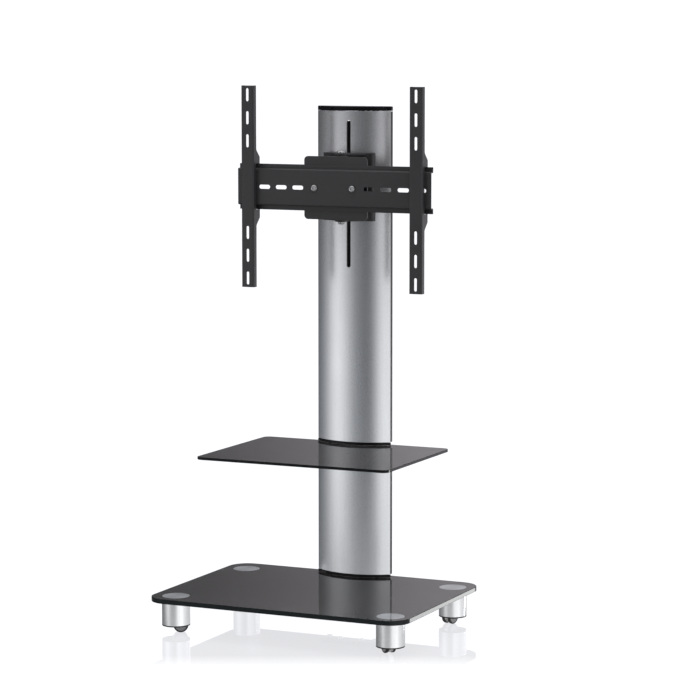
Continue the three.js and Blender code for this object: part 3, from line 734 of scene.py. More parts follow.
# ------------------------------------------------------------------ column
def inner_wall():
    r, y_end = COL_RAD - COL_WALL, COL_REAR - COL_WALL
    end = math.acos((COL_CY - y_end) / r)
    at = lambda t: (r * math.sin(t), COL_CY - r * math.cos(t))
    ports = []
    for x, y in PORTS:
        d = math.hypot(x, COL_CY - y)
        ports.append((math.atan2(x, COL_CY - y), math.acos((r * r + d * d - PORT_R ** 2) / (2 * r * d)), x, y))
    ports.sort(reverse=True)
    pts, t = [], end

    def arc_to(t, t1):
        n = max(1, round((t - t1) / 0.035))
        return [at(t + (t1 - t) * i / n) for i in range(n)]

    for mid, half, x, y in ports:
        pts += arc_to(t, mid + half)
        ax, ay = at(mid + half)
        bx, by = at(mid - half)
        a0, a1 = math.atan2(ay - y, ax - x), math.atan2(by - y, bx - x)
        while a1 < a0:
            a1 += 2 * math.pi
        pts += [(x + PORT_R * math.cos(a0 + (a1 - a0) * i / 20), y + PORT_R * math.sin(a0 + (a1 - a0) * i / 20)) for i in range(20)]
        t = mid - half
    pts += arc_to(t, -end)
    pts.append(at(-end))
    return pts


def column(z0, z1):
    arc = front_arc(COL_RAD, COL_REAR, 104)
    lip = COL_HW - COL_LIP
    pts = arc + [(lip, COL_REAR), (lip, COL_REAR - COL_WALL)] + inner_wall() + [(-lip, COL_REAR - COL_WALL), (-lip, COL_REAR)]
    corner = {0: 0.5, len(arc) - 1: 0.5, len(arc): 0.5, len(arc) + 1: 0.5, len(pts) - 1: 0.5, len(pts) - 2: 0.5}
    outline = soften(pts, 0, 4, radii=corner)
    return slab(outline, [circle(x, y, PORT_BORE, 28) for x, y in PORTS], z0, z1, 0.35, k=2, a_hole=0.2)


make("lower_column", column(C1 + GAP, PAD0 - GAP), [COLUMN])
slot = along_y(slab(oblong(0, (SLOT_Z0 + SLOT_Z1) / 2, (SLOT_Z1 - SLOT_Z0) / 2 - SLOT_HW, SLOT_HW, False, 12), [], 0, 15, 0), COL_FRONT - 6)
make("upper_column", cut(column(S1 + GAP, COLUMN_TOP), cuts=[slot]), [COLUMN])


# ------------------------------------------------------------------ rear covers and cap
def cover(z0, z1, notches):
    hw, y0, y1, w = COL_HW + 0.4, COL_REAR + GAP, COVER_BACK, COVER_WALL
    lx = COL_HW - COL_LIP - 0.6
    leg = COL_REAR - COL_WALL - 4
    pts = [(-hw, y0), (-hw + w, y0), (-hw + w, y1 - w), (-lx, y1 - w), (-lx, leg), (-lx + w, leg), (-lx + w, y1 - w),
           (lx - w, y1 - w), (lx - w, leg), (lx, leg), (lx, y1 - w), (hw - w, y1 - w), (hw - w, y0), (hw, y0),
           (hw, y1), (-hw, y1)]
    outline = soften(pts, 0.4, 3, radii={14: 2.4, 15: 2.4, 2: 1.0, 11: 1.0})
    shell = slab(outline, [], z0, z1, 0.35, k=2)
    tools = []
    for a, b, open_top in notches:
        tools.append(along_y(slab(rrect(-OUTLET_HW, OUTLET_HW, a, b, 5, 8), [], 0, w + 5, 0), y1 - w - 2.5))
    return cut(shell, cuts=tools)


make("lower_rear_cover", cover(C1 + 1, PAD0 - GAP - 1, [(C1 - 9, C1 + 1 + OUTLET_H, False)]), [COVER])
make("upper_rear_cover", cover(S1 + 1, COLUMN_TOP - 1, [(S1 - 9, S1 + 1 + OUTLET_H, False),
                                                        (COLUMN_TOP - 1 - OUTLET_H, COLUMN_TOP + 9, True)]), [COVER])

arc = front_arc(COL_RAD + 0.4, COL_REAR, 104)
pts = arc + [(COL_HW + 0.4, COVER_BACK + 0.4), (-COL_HW - 0.4, COVER_BACK + 0.4)]
cap_plan = soften(pts, 0, 4, radii={0: 1.5, len(arc) - 1: 1.5, len(pts) - 2: 2.6, len(pts) - 1: 2.6})
cz = COLUMN_TOP + GAP
cap = join(slab(cap_plan, [], cz, cz + CAP_H - GAP, 0.4, 2.4, k=5),
           slab(soften([(-45, 184), (-37, 184), (-37, 187), (-45, 187)], 0.6, 3), [], cz - 14, cz + 2, 0.5),
           slab(soften([(37, 184), (45, 184), (45, 187), (37, 187)], 0.6, 3), [], cz - 14, cz + 2, 0.5))
make("top_cap", cap, [GLOSS])


# ------------------------------------------------------------------ screws
def hexagon(r_flat, turn=0.0):
    return circle(0, 0, r_flat / math.cos(math.pi / 6), 6, turn)


def socket_screw(head_r, head_h, shaft_r, shaft_l, socket, depth, dome=0.0, knurl=False):
    """Screw along +Z with the head's top at z = 0 and everything else below it."""
    if knurl:
        ring = []
        teeth = 40
        for i in range(teeth):
            for k, rr in ((0.0, head_r - 0.35), (0.30, head_r), (0.55, head_r), (0.85, head_r - 0.35)):
                a = 2 * math.pi * (i + k) / teeth
                ring.append((rr * math.cos(a), rr * math.sin(a)))
    else:
        ring = circle(0, 0, head_r, 64)
    hexa = hexagon(socket)
    if dome:
        steps = 6
        prof = [(0, -depth - 0.2)]
        head = lathe(soften([(socket * 1.16, -depth), (socket * 1.16, -0.15), (socket * 1.35, 0)]
                            + [(socket * 1.35 + (head_r - socket * 1.35) * math.sin(math.pi / 2 * i / steps), -dome * (1 - math.cos(math.pi / 2 * i / steps))) for i in range(1, steps + 1)]
                            + [(head_r, -head_h), (socket * 1.16, -head_h)], 0), 64)
        head.add(slab(circle(0, 0, socket * 1.22, 36), [hexa], -depth, -0.35, 0.0))
    else:
        head = slab(ring, [hexa], -head_h, 0, 0.25, 0.6 if not knurl else 0.35, k=3, a_hole=0.2)
    head.add(slab(circle(0, 0, socket * 1.25, 24), [], -depth - 0.6, -depth, 0))
    z = -head_h
    prof = [(0, z + 0.3), (shaft_r, z + 0.3)]
    pitch = 1.25
    zt = z - 0.4
    prof.append((shaft_r, zt))
    while zt > z - shaft_l + 1.6 + pitch:
        prof += [(shaft_r - 0.45, zt - pitch * 0.45), (shaft_r - 0.02, zt - pitch * 0.9), (shaft_r - 0.02, zt - pitch)]
        zt -= pitch
    prof += [(shaft_r - 0.02, z - shaft_l + 0.9), (shaft_r - 0.9, z - shaft_l), (0, z - shaft_l)]
    head.add(lathe(prof, 40, closed=False))
    return head


for x, y in PORTS:
    zt = BASE_TOP - BASE_T - GAP - 4 - GAP
    name = f"tie_bolt_{'rear' if y > 186 else 'front'}_{'left' if x < 0 else 'right'}"
    head = slab(circle(0, 0, 6.5, 56), [hexagon(3.0)], zt - 5, zt, 0.6, 0.3, k=3, a_hole=0.2)
    head.add(slab(circle(0, 0, 3.8, 24), [], zt - 1.8, zt - 1.2, 0))
    head.add(lathe([(0, zt - 0.3), (4, zt - 0.3), (4, 454), (3.2, 455), (0, 455)], 32, closed=False))
    make(name, shifted(head, x, y), [ZINC])

# ------------------------------------------------------------------ feet and casters
for where, (fx, fy) in FEET.items():
    top = BASE_TOP - BASE_T - GAP
    lip = top - DISC_LIP
    disc = lathe(soften([(0, top), (DISC_R, top), (DISC_R, lip), (12, lip), (12, DECK_Z1 + GAP), (4.5, DECK_Z1 + GAP),
                         (4.5, top - 3.6), (0, top - 3.6)], 0.35, 4, radii={0: 0, 7: 0}), 96)
    make(f"foot_disc_{where}", shifted(disc, fx, fy), [DISC])

    z0, z1 = FOOT_BOTTOM + RIM_H + GAP, lip - GAP
    sleeve = lathe(soften([(SLEEVE_RI, z0), (FOOT_R, z0), (FOOT_R, z1), (SLEEVE_RI, z1), (SLEEVE_RI, DECK_Z1), (4.5, DECK_Z1),
                           (4.5, DECK_Z0), (SLEEVE_RI, DECK_Z0)], 0.45, 5), 128)
    make(f"foot_sleeve_{where}", shifted(sleeve, fx, fy), [SLEEVE])

    rim = lathe(soften([(SLEEVE_RI, FOOT_BOTTOM), (FOOT_R, FOOT_BOTTOM), (FOOT_R, FOOT_BOTTOM + RIM_H), (SLEEVE_RI, FOOT_BOTTOM + RIM_H)], 0.5, 4), 128)
    make(f"foot_rim_{where}", shifted(rim, fx, fy), [RIM])

    prof = [(0, 34), (PIN_R - 0.4, 34), (PIN_R, 34.4), (PIN_R, 44), (6.7, 44), (7, 44.3), (7, DECK_Z0 - GAP)]
    z = DECK_Z0 - GAP
    prof.append((4, z))
    while z < top - 5 - 1.5:
        prof += [(3.55, z + 0.55), (4, z + 1.1), (4, z + 1.25)]
        z += 1.25
    prof += [(3.3, top - 5), (0, top - 5)]
    make(f"caster_stem_{where}", shifted(lathe(prof, 48, closed=False), fx, fy), [ZINC])

    turn = math.radians(YAW[where])
    ca, sa = math.cos(turn), math.sin(turn)

    def local(part):
        return part.moved(lambda x, y, z: (fx + x * ca - y * sa, fy + x * sa + y * ca, z))

    # body between the wheels: rounded hood and hub cheek under a turned boss
    hood = soften([(-8, 37), (-8, 22), (-6.9, 13.5), (-4.2, 7.2), (1.0, 3.2), (9.5, 2.2), (17.5, 4.6), (23.0, 11.5), (22.4, 20), (13.5, 31), (8.2, 37)], 4.0, 5)
    web = along_y(slab(wound(hood), [circle(TRAIL, WHEEL_R, AXLE_R + 0.4, 28)], -HOOD_T / 2, HOOD_T / 2, 1.1, k=4, a_hole=0.2))
    boss = lathe(soften([(PIN_R + 0.4, 33.5), (9.5, 33.5), (9.5, 43.6), (PIN_R + 0.4, 43.6)], 0.8, 4), 64)
    make(f"caster_body_{where}", local(join(web, boss)), [CAST])

    half = HOOD_T / 2 + 0.35 + WHEEL_T - 0.6
    axle = turned_y(lathe(soften([(0, -half), (AXLE_R, -half), (AXLE_R, half), (0, half)], 0.4, 3, radii={0: 0, 3: 0}), 40), TRAIL, WHEEL_R)
    make(f"caster_axle_{where}", local(axle), [ZINC])

    w0 = HOOD_T / 2 + 0.35
    w1 = w0 + WHEEL_T
    bore = AXLE_R + 0.4
    prof = [(bore, w0 + 0.1), (5.0, w0 + 0.1), (5.6, w0 + 1.4), (12.6, w0 + 1.4), (13.2, w0), (WHEEL_R, w0),
            (WHEEL_R, w1 - 1.6), (WHEEL_R - 1.8, w1), (13.0, w1), (12.4, w1 - 0.9), (6.6, w1 - 1.3), (6.0, w1 - 0.3), (bore + 0.9, w1), (bore, w1 - 0.4)]
    for side, s in (("left", 1), ("right", -1)):
        wheel = lathe(soften(prof, 0.5, 4, radii={6: 1.2, 7: 1.2}), 96)
        for i, ids in enumerate(wheel.f):      # grey disc in the outer face
            at = [wheel.v[j] for j in ids]
            if min(p.z for p in at) > w1 - 1.45 and max(math.hypot(p.x, p.y) for p in at) < 12.9:
                wheel.m[i] = 1
        wheel = wheel.moved(lambda x, y, z, s=s: (TRAIL + x, s * z, WHEEL_R + y))
        make(f"caster_wheel_{side}_{where}", local(wheel), [WHEEL, FACE])

# ------------------------------------------------------------------ mount carrier
LUG0, LUG1, LUG_T, LUG_R = MOUNT_Z - 74, MOUNT_Z + 74, 5, 14


def lug_plan(half_back, y_back):
    up = y_back > PIVOT_Y
    s = -1 if up else 1
    pts = [(-half_back, y_back), (-LUG_R, PIVOT_Y + (8 if up else -8))]
    for i in range(25):
        t = math.pi - math.pi * i / 24
        pts.append((LUG_R * math.cos(t), PIVOT_Y + s * LUG_R * math.sin(t)))
    pts += [(LUG_R, PIVOT_Y + (8 if up else -8)), (half_back, y_back)]
    n = len(pts)
    return wound(soften(pts, 0, 5, radii={1: 12, n - 2: 12}))


nut0 = COL_FRONT + COL_WALL + 1.1
y1 = COL_FRONT - GAP
y0 = y1 - 4
u = [(-60, 181), (-60, y0), (60, y0), (60, 181), (56, 181), (56, y1), (-56, y1), (-56, 181)]
shell = slab(soften(wound(u), 0.5, 5, radii=None), [], LUG0, LUG1, 0.5, k=3)


def rod_y(x, z, r, a, b, n=40):
    return turned_y(lathe([(0, a), (r, a), (r, b), (0, b)], n, closed=False), x, z)


def bent_u():
    """U plan with bend radii outside and inside."""
    pts = wound(u)
    radii = {}
    for i, p in enumerate(pts):
        if p[1] == y0:
            radii[i] = 5.0
        elif p[1] == y1:
            radii[i] = 1.2
        else:
            radii[i] = 0.6
    return soften(pts, 0.6, 6, radii=radii)


shell = slab(bent_u(), [], LUG0, LUG1, 0.5, k=3)
drill = [rod_y(0, MOUNT_Z - 45, 4.5, y0 - 5, y1 + 5), rod_y(0, MOUNT_Z + 45, 4.5, y0 - 5, y1 + 5)]
holes = cut(shell, cuts=drill)
lug_hole = [circle(0, PIVOT_Y, PIVOT_R + 0.35, 48)]


def with_parts(me, *parts):
    """Add closed shells to a mesh that has been cut."""
    bm = bmesh.new()
    bm.from_mesh(me)
    for p in parts:
        tmp = mesh_of(p, "tmp")
        bm.from_mesh(tmp)
        bpy.data.meshes.remove(tmp)
    bm.to_mesh(me)
    bm.free()
    return me


def weld(path, r=1.4, n=10):
    """A weld bead: a tube with ripples along a straight path."""
    part = Part()
    a, b = Vector(path[0]), Vector(path[1])
    length = (b - a).length
    d = (b - a).normalized()
    side = d.orthogonal().normalized()
    other = d.cross(side)
    steps = max(8, int(length / 0.45))
    rings = []
    for i in range(steps + 1):
        s = i / steps
        swell = r * (0.86 + 0.14 * abs(math.sin(s * length / 1.6 * math.pi)))
        if i in (0, steps):
            swell *= 0.35
        c = a + d * (length * s)
        k = len(part.v)
        part.v += [c + (side * math.cos(2 * math.pi * j / n) + other * math.sin(2 * math.pi * j / n)) * swell for j in range(n)]
        rings.append(list(range(k, k + n)))
    for p, q in zip(rings, rings[1:]):
        for j in range(n):
            part.face((p[j], q[j], q[(j + 1) % n], p[(j + 1) % n]))
    part.face(list(reversed(rings[0])), 0, 1)
    part.face(rings[-1], 0, 1)
    return part.oriented()


plan = lug_plan(44, y0 + 1)
carrier = with_parts(
    holes,
    slab(plan, lug_hole, LUG1 - LUG_T, LUG1 - 0.02, 0.5, k=3, a_hole=0.3),
    slab(plan, lug_hole, LUG0 + 0.02, LUG0 + LUG_T, 0.5, k=3, a_hole=0.3),
    weld([(-42, y0 + 0.2, LUG1 - LUG_T - 0.2), (42, y0 + 0.2, LUG1 - LUG_T - 0.2)]),
    weld([(-42, y0 + 0.2, LUG0 + LUG_T + 0.2), (42, y0 + 0.2, LUG0 + LUG_T + 0.2)]),
)
make("mount_carrier", carrier, [COAT])

bar = along_y(slab(rrect(-11, 11, MOUNT_Z - 68, MOUNT_Z + 68, 3, 6), [circle(0, MOUNT_Z - 45, 4.4, 32), circle(0, MOUNT_Z + 45, 4.4, 32)], 0, 6, 0.4), nut0)
make("clamp_bar", bar, [ZINC])

for name, dz in (("lower", -45), ("upper", 45)):
    front = y0 - GAP - 10
    screw = socket_screw(6.5, 10, 4, nut0 + 10 - (y0 - GAP), 3.0, 5, knurl=True)
    screw.moved(lambda x, y, z: (x, front - z, MOUNT_Z + dz + y))
    make(f"carrier_bolt_{name}", screw, [ZINC])

pin = lathe(soften([(0, LUG0 - 6), (5, LUG0 - 6), (7.5, LUG0 - 3.5), (7.5, LUG0 - GAP), (PIVOT_R, LUG0 - GAP), (PIVOT_R, LUG1 + GAP),
                    (10, LUG1 + GAP), (10, LUG1 + 4), (7, LUG1 + 6.5), (0, LUG1 + 7)], 0.8, 5, radii={0: 0, 9: 0, 8: 3.0}), 72)
make("pivot_pin", shifted(pin, 0, PIVOT_Y), [ZINC])

# ------------------------------------------------------------------ swivel bracket
plate_y = RAIL_REAR + GAP
sz0, sz1 = LUG0 + LUG_T + 0.5, LUG1 - LUG_T - 0.5
plate = along_y(slab(rrect(-75, 75, sz0, sz1, 9, 10), [circle(-45, MOUNT_Z, 4.4, 32), circle(45, MOUNT_Z, 4.4, 32)], 0, 4, 0.5, a_hole=0.3), plate_y)
plan = lug_plan(34, plate_y + 3)
bracket = join(
    plate,
    slab(plan, lug_hole, sz1 - LUG_T, sz1 - 0.02, 0.5, k=3, a_hole=0.3),
    slab(plan, lug_hole, sz0 + 0.02, sz0 + LUG_T, 0.5, k=3, a_hole=0.3),
    weld([(-32, plate_y + 4.2, sz1 - LUG_T - 0.2), (32, plate_y + 4.2, sz1 - LUG_T - 0.2)]),
    weld([(-32, plate_y + 4.2, sz0 + LUG_T + 0.2), (32, plate_y + 4.2, sz0 + LUG_T + 0.2)]),
)
make("swivel_bracket", bracket, [COAT])

# ------------------------------------------------------------------ cross rail
zt, zb = MOUNT_Z + RAIL_H / 2, MOUNT_Z - RAIL_H / 2
prof = [(RAIL_FRONT, zb), (RAIL_REAR - RAIL_T, zb), (RAIL_REAR - RAIL_T, zb - RAIL_LIP), (RAIL_REAR, zb - RAIL_LIP), (RAIL_REAR, zb + RAIL_T),
        (RAIL_FRONT + RAIL_T, zb + RAIL_T), (RAIL_FRONT + RAIL_T, zt - RAIL_T), (RAIL_REAR, zt - RAIL_T), (RAIL_REAR, zt + RAIL_LIP),
        (RAIL_REAR - RAIL_T, zt + RAIL_LIP), (RAIL_REAR - RAIL_T, zt), (RAIL_FRONT, zt)]
radii = {0: 3.2, 1: 1.0, 4: 3.2, 5: 0.9, 6: 0.9, 7: 3.2, 10: 1.0, 11: 3.2}
section = soften(wound(prof), 0.5, 5, radii=radii)
rail = slab(section, [], -RAIL_HW, RAIL_HW, 0.4, k=2).moved(lambda x, y, z: (z, x, y))
tools = []
for x in (-205, -165, -125, -85, 85, 125, 165, 205):
    tools.append(along_y(slab(oblong(x, MOUNT_Z, 9, 4.5, True, 12), [], 0, 8, 0), RAIL_FRONT - 3))
for x in (-45, 45):
    tools.append(rod_y(x, MOUNT_Z, 4.4, RAIL_FRONT - 3, RAIL_FRONT + 6))
make("cross_rail", cut(rail, cuts=tools), [COAT], bevel=0.3)

for name, x in (("left", -45), ("right", 45)):
    screw = socket_screw(7, 3.6, 4, plate_y + 9 - (RAIL_FRONT - GAP), 2.5, 2.2, dome=2.4)
    front = RAIL_FRONT - GAP - 3.6
    screw.moved(lambda a, b, c: (x + a, front - c, MOUNT_Z + b))
    make(f"rail_bolt_{name}", screw, [ZINC])

# ------------------------------------------------------------------ screen arms
for name, sx in (("left", -1), ("right", 1)):
    cx = sx * ARM_X
    ht = MOUNT_Z + RAIL_H / 2 + RAIL_LIP + GAP
    hb = MOUNT_Z - RAIL_H / 2 - RAIL_LIP - GAP
    rear, tail = ARM_REAR, ARM_TAIL
    f0 = ARM_FRONT
    plan = [(cx - ARM_HW, tail), (cx - ARM_HW, f0), (cx + ARM_HW, f0), (cx + ARM_HW, tail), (cx + ARM_HW - ARM_T, tail),
            (cx + ARM_HW - ARM_T, f0 + ARM_T), (cx - ARM_HW + ARM_T, f0 + ARM_T), (cx - ARM_HW + ARM_T, tail)]
    channel = slab(soften(wound(plan), 0.3, 5, radii={1: 3.0, 2: 3.0, 5: 0.7, 6: 0.7}), [], ARM_Z0, ARM_Z1, 0.0)
    side = [(f0 + 5, hb - 60), (tail, hb - 60), (tail, hb - 34), (rear, hb - 18), (rear, hb), (RAIL_FRONT - GAP, hb), (RAIL_FRONT - GAP, ht),
            (RAIL_REAR + GAP, ht), (RAIL_REAR + GAP, ht - 16), (rear, ht - 16), (rear, ht + 14), (tail, ht + 30), (tail, ht + 60), (f0 + 5, ht + 60)]
    side = soften(wound(side), 0, 4, radii={2: 8, 3: 4, 4: 1.2, 9: 1.2, 10: 4, 11: 8})
    ears = [along_x(slab(side, [], 0, ARM_T, 0.0), cx - ARM_HW), along_x(slab(side, [], 0, ARM_T, 0.0), cx + ARM_HW - ARM_T)]
    notch = along_x(slab([(RAIL_FRONT - GAP, hb), (RAIL_FRONT - GAP, ht), (RAIL_REAR + GAP, ht), (RAIL_REAR + GAP, ht - 16), (rear + 5, ht - 16), (rear + 5, hb)],
                         [], 0, 2 * ARM_HW + 4, 0.0), cx - ARM_HW - 2)
    tab = slab(rrect(cx - ARM_HW + 1, cx + ARM_HW - 1, ARM_TAIL + 3, rear, 1, 3), [], hb - 16, hb - 12, 0.0)
    tools = [notch]
    for dz in (-200, -150, -100, 100, 150, 200):
        tools.append(along_y(slab(oblong(cx, MOUNT_Z + dz, 11, 3.4, False, 10), [], 0, 8, 0), f0 - 3))
    tools.append(shifted(slab(circle(0, 0, 3.4, 32), [], hb - 20, hb - 8, 0.0), cx, LOCK_Y))
    make(f"screen_arm_{name}", cut(channel, adds=ears + [tab], cuts=tools), [COAT], bevel=0.35)

    screw = socket_screw(5, 7, 3, 20 + 0.7, 2.0, 3.5, knurl=True)
    screw.moved(lambda a, b, c: (cx + a, LOCK_Y + b, hb - 28 - c))
    make(f"arm_lock_screw_{name}", screw, [ZINC])

# ------------------------------------------------------------------ stage and light
scene = bpy.context.scene


def stage_mesh(name, verts, faces, mat):
    me = bpy.data.meshes.new(name)
    me.from_pydata(verts, [], faces)
    me.materials.append(mat)
    o = bpy.data.objects.new(name, me)
    scene.collection.objects.link(o)
    return o


def grey_ramp(tree, fac, stops, mode="EASE"):
    """Brightness by position round the set: stops of (degrees from the front, towards +X, brightness)."""
    n = tree.nodes.new("ShaderNodeValToRGB")
    n.color_ramp.interpolation = mode
    e = n.color_ramp.elements
    for i, (deg, v) in enumerate(stops):
        at = (deg + 180) / 360
        k = e[i] if i < 2 else e.new(at)
        k.position = at
        k.color = (v, v, v, 1)
    tree.links.new(fac, n.inputs["Fac"])
    return n.outputs["Color"]


def compass(tree, x, y):
    """0 to 1 round the set: 0.5 is the front (-Y), 0.75 the right (+X)."""
    def math_node(op, a, b):
        n = tree.nodes.new("ShaderNodeMath")
        n.operation = op
        for i, v in enumerate((a, b)):
            if isinstance(v, bpy.types.NodeSocket):
                tree.links.new(v, n.inputs[i])
            else:
                n.inputs[i].default_value = v
        return n.outputs[0]
    angle = math_node("ARCTAN2", x, math_node("MULTIPLY", y, -1.0))
    return math_node("ADD", math_node("DIVIDE", angle, 2 * math.pi), 0.5)


def make_floor():
    """White floor with a glossy sheet under the set: the sheet gives a faint mirror image of the stand."""
    n = Nodes("studio_floor")
    sep = n.new("SeparateXYZ")
    n.t.links.new(n.new("TexCoord").outputs["Object"], sep.inputs[0])
    s = n.math("ADD", n.math("MULTIPLY", sep.outputs["X"], -0.4198), n.math("MULTIPLY", sep.outputs["Y"], 0.9076))
    sheet = n.between(s, 0.0, 1.0, -0.40, -0.275)
    seen = n.new("Emission")
    n.set(seen.inputs["Color"], n.mix(sheet, (0.992, 0.994, 1.0), (0.968, 0.973, 1.0)))
    n.set(seen.inputs["Strength"], n.between(sheet, 1.02, 0.75, 0.0, 1.0))
    lit = n.new("BsdfDiffuse", Color=(0.05, 0.05, 0.05))
    a = n.new("AddShader")
    n.t.links.new(seen.outputs[0], a.inputs[0])
    n.t.links.new(lit.outputs[0], a.inputs[1])
    mirror = n.new("BsdfGlossy", Roughness=0.0)
    n.set(mirror.inputs["Color"], n.mix(sheet, (0.0, 0.0, 0.0), (0.275, 0.28, 0.30)))
    front = n.new("AddShader")
    n.t.links.new(a.outputs[0], front.inputs[0])
    n.t.links.new(mirror.outputs[0], front.inputs[1])
    back = n.new("Emission", Color=(0.75, 0.75, 0.755), Strength=1.0)
    pick = n.new("MixShader")
    n.t.links.new(n.new("LightPath").outputs["Is Camera Ray"], pick.inputs[0])
    n.t.links.new(back.outputs[0], pick.inputs[1])
    n.t.links.new(front.outputs[0], pick.inputs[2])
    return n.surface(pick.outputs[0])


floor_o = stage_mesh("studio_floor_plane", [(-1500, -1500, 0), (1500, -1500, 0), (1500, 1500, 0), (-1500, 1500, 0)], [(0, 1, 2, 3)], make_floor())
floor_o.visible_glossy = False


# translucent tent round the set, lit from outside: softly graded from side to side
def make_tent():
    n = Nodes("studio_tent")
    sep = n.new("SeparateXYZ")
    n.t.links.new(n.new("TexCoord").outputs["Object"], sep.inputs[0])
    where = compass(n.t, sep.outputs["X"], sep.outputs["Y"])
    round_set = grey_ramp(n.t, where, [
        (-179.9, 0.66), (-166, 0.58), (-159, 0.44), (-156, 0.34), (-152.6, 0.26), (-150, 0.19), (-147, 0.13), (-138, 0.09), (-124, 0.09),
        (-104, 0.135), (-86, 0.27), (-70, 0.70), (-57, 1.38), (-44, 1.52), (-31, 1.06), (-12, 0.39), (2, 0.215), (11, 0.13), (19, 0.175),
        (28, 0.72), (38, 1.62), (53, 1.40), (80, 1.0), (105, 0.55), (125, 0.34), (145, 0.36), (165, 0.62), (179.9, 0.66)], "LINEAR")
    facing = grey_ramp(n.t, where, [(-130, 0.0), (-112, 1.0), (95, 1.0), (120, 0.0)], "LINEAR")

    def by_height(stops):
        r = n.t.nodes.new("ShaderNodeValToRGB")
        e = r.color_ramp.elements
        for i, (h, v) in enumerate(stops):
            at = (h + 0.8) / 5.0
            k = e[i] if i < 2 else e.new(at)
            k.position = at
            k.color = (v, v, v, 1)
        n.t.links.new(n.between(sep.outputs["Z"], 0.0, 1.0, -0.8, 4.2), r.inputs["Fac"])
        return r.outputs["Color"]
    ahead = by_height([(-0.72, 0.58), (-0.5, 0.69), (-0.35, 0.76), (-0.13, 0.87), (0.0, 0.94), (0.15, 1.02), (0.45, 0.7), (0.85, 0.245), (1.3, 0.215)])
    wash = by_height([(-0.72, 0.0), (-0.5, 0.03), (-0.35, 0.055), (-0.13, 0.05), (0.0, 0.025), (0.15, 0.0), (0.45, 0.03), (0.85, 0.068), (1.3, 0.075)])
    behind = by_height([(-0.72, 2.6), (0.55, 2.3), (0.80, 1.0), (1.3, 1.0)])
    level = n.mix(facing, behind, ahead)
    cool = n.mix(n.between(round_set, 0.0, 1.0, 0.15, 0.9), (0.93, 0.985, 1.07), (1.0, 1.0, 1.0))
    low = by_height([(-0.72, 1.0), (0.3, 1.0), (0.8, 0.0), (1.3, 0.0)])
    cool = n.mix(low, (1.0, 0.975, 1.0), cool)
    tint = n.mix(facing, (1.0, 0.955, 1.0), cool)

    def times(a, b, op="MULTIPLY"):
        m = n.new("VectorMath", operation=op)
        n.t.links.new(a, m.inputs[0])
        n.t.links.new(b, m.inputs[1])
        return m.outputs[0]
    shade = times(times(round_set, tint), level)
    e = n.new("Emission", Strength=1.0)
    n.set(e.inputs["Color"], times(shade, times(wash, facing), "ADD"))
    clear = n.new("BsdfTransparent", Color=(1.0, 1.0, 1.0))
    pick = n.new("MixShader")
    n.t.links.new(n.new("LightPath").outputs["Is Singular Ray"], pick.inputs[0])
    n.t.links.new(e.outputs[0], pick.inputs[1])
    n.t.links.new(clear.outputs[0], pick.inputs[2])
    return n.surface(pick.outputs[0])


TENT_R, SEG, TENT_Z0, TENT_Z1 = 4.0, 192, -0.66, 4.2
ring = [(TENT_R * math.sin(2 * math.pi * i / SEG), -TENT_R * math.cos(2 * math.pi * i / SEG)) for i in range(SEG)]
tent = stage_mesh("studio_tent_wall", [(x, y, TENT_Z0) for x, y in ring] + [(x, y, TENT_Z1) for x, y in ring],
                  [(i, (i + 1) % SEG, SEG + (i + 1) % SEG, SEG + i) for i in range(SEG)], make_tent())
tent.location = (0, 0.17, 0)
tent.visible_camera = tent.visible_diffuse = tent.visible_shadow = False


def rim_card(name, az0, az1, z0, z1, level, radius=1.5):
    """Narrow bright card far behind the set, seen only in polished edges."""
    n = Nodes(name)
    sep = n.new("SeparateXYZ")
    n.t.links.new(n.new("TexCoord").outputs["Generated"], sep.inputs[0])
    fade = n.between(sep.outputs["Z"], 0.0, 1.0, 0.0, 0.12)
    e = n.new("Emission", Color=(1.0, 1.0, 1.0))
    n.set(e.inputs["Strength"], n.math("MULTIPLY", fade, level))
    clear = n.new("BsdfTransparent", Color=(1.0, 1.0, 1.0))
    pick = n.new("MixShader")
    n.t.links.new(n.new("LightPath").outputs["Is Singular Ray"], pick.inputs[0])
    n.t.links.new(e.outputs[0], pick.inputs[1])
    n.t.links.new(clear.outputs[0], pick.inputs[2])
    pts = []
    for z in (z0, z1):
        for a in (az0, az1):
            t = math.radians(a)
            pts.append((radius * math.sin(t), 0.17 - radius * math.cos(t), z))
    o = stage_mesh(name, pts, [(0, 1, 3, 2)], n.surface(pick.outputs[0]))
    o.visible_camera = o.visible_diffuse = o.visible_shadow = o.visible_transmission = False
    return o


rim_card("card_corner", 127, 137, 0.02, 0.24, 20.0)


def strip_card(name, x0, za, xa, x1, zb, xb, y, level):
    """Slanted bright strip low behind on the right: it lights up the base's right edge and hardly anything else."""
    n = Nodes(name)
    e = n.new("Emission", Color=(1.0, 1.0, 1.0), Strength=level)
    clear = n.new("BsdfTransparent", Color=(1.0, 1.0, 1.0))
    pick = n.new("MixShader")
    n.t.links.new(n.new("LightPath").outputs["Is Singular Ray"], pick.inputs[0])
    n.t.links.new(e.outputs[0], pick.inputs[1])
    n.t.links.new(clear.outputs[0], pick.inputs[2])
    pts = [(x0, y, za - xa), (x1, y, zb - xb), (x1, y, zb + xb), (x0, y, za + xa)]
    o = stage_mesh(name, pts, [(0, 1, 2, 3)], n.surface(pick.outputs[0]))
    o.visible_camera = o.visible_diffuse = o.visible_shadow = o.visible_transmission = False
    return o


strip_card("card_edge", 0.392, 0.0256, 0.0085, 0.605, -0.0896, 0.0125, 0.45, 6.0)

world = bpy.data.worlds.new("studio")
scene.world = world
world.use_nodes = True
wt = world.node_tree
wt.nodes.clear()
out = wt.nodes.new("ShaderNodeOutputWorld")
coord = wt.nodes.new("ShaderNodeTexCoord")
sep = wt.nodes.new("ShaderNodeSeparateXYZ")
wt.links.new(coord.outputs["Generated"], sep.inputs[0])
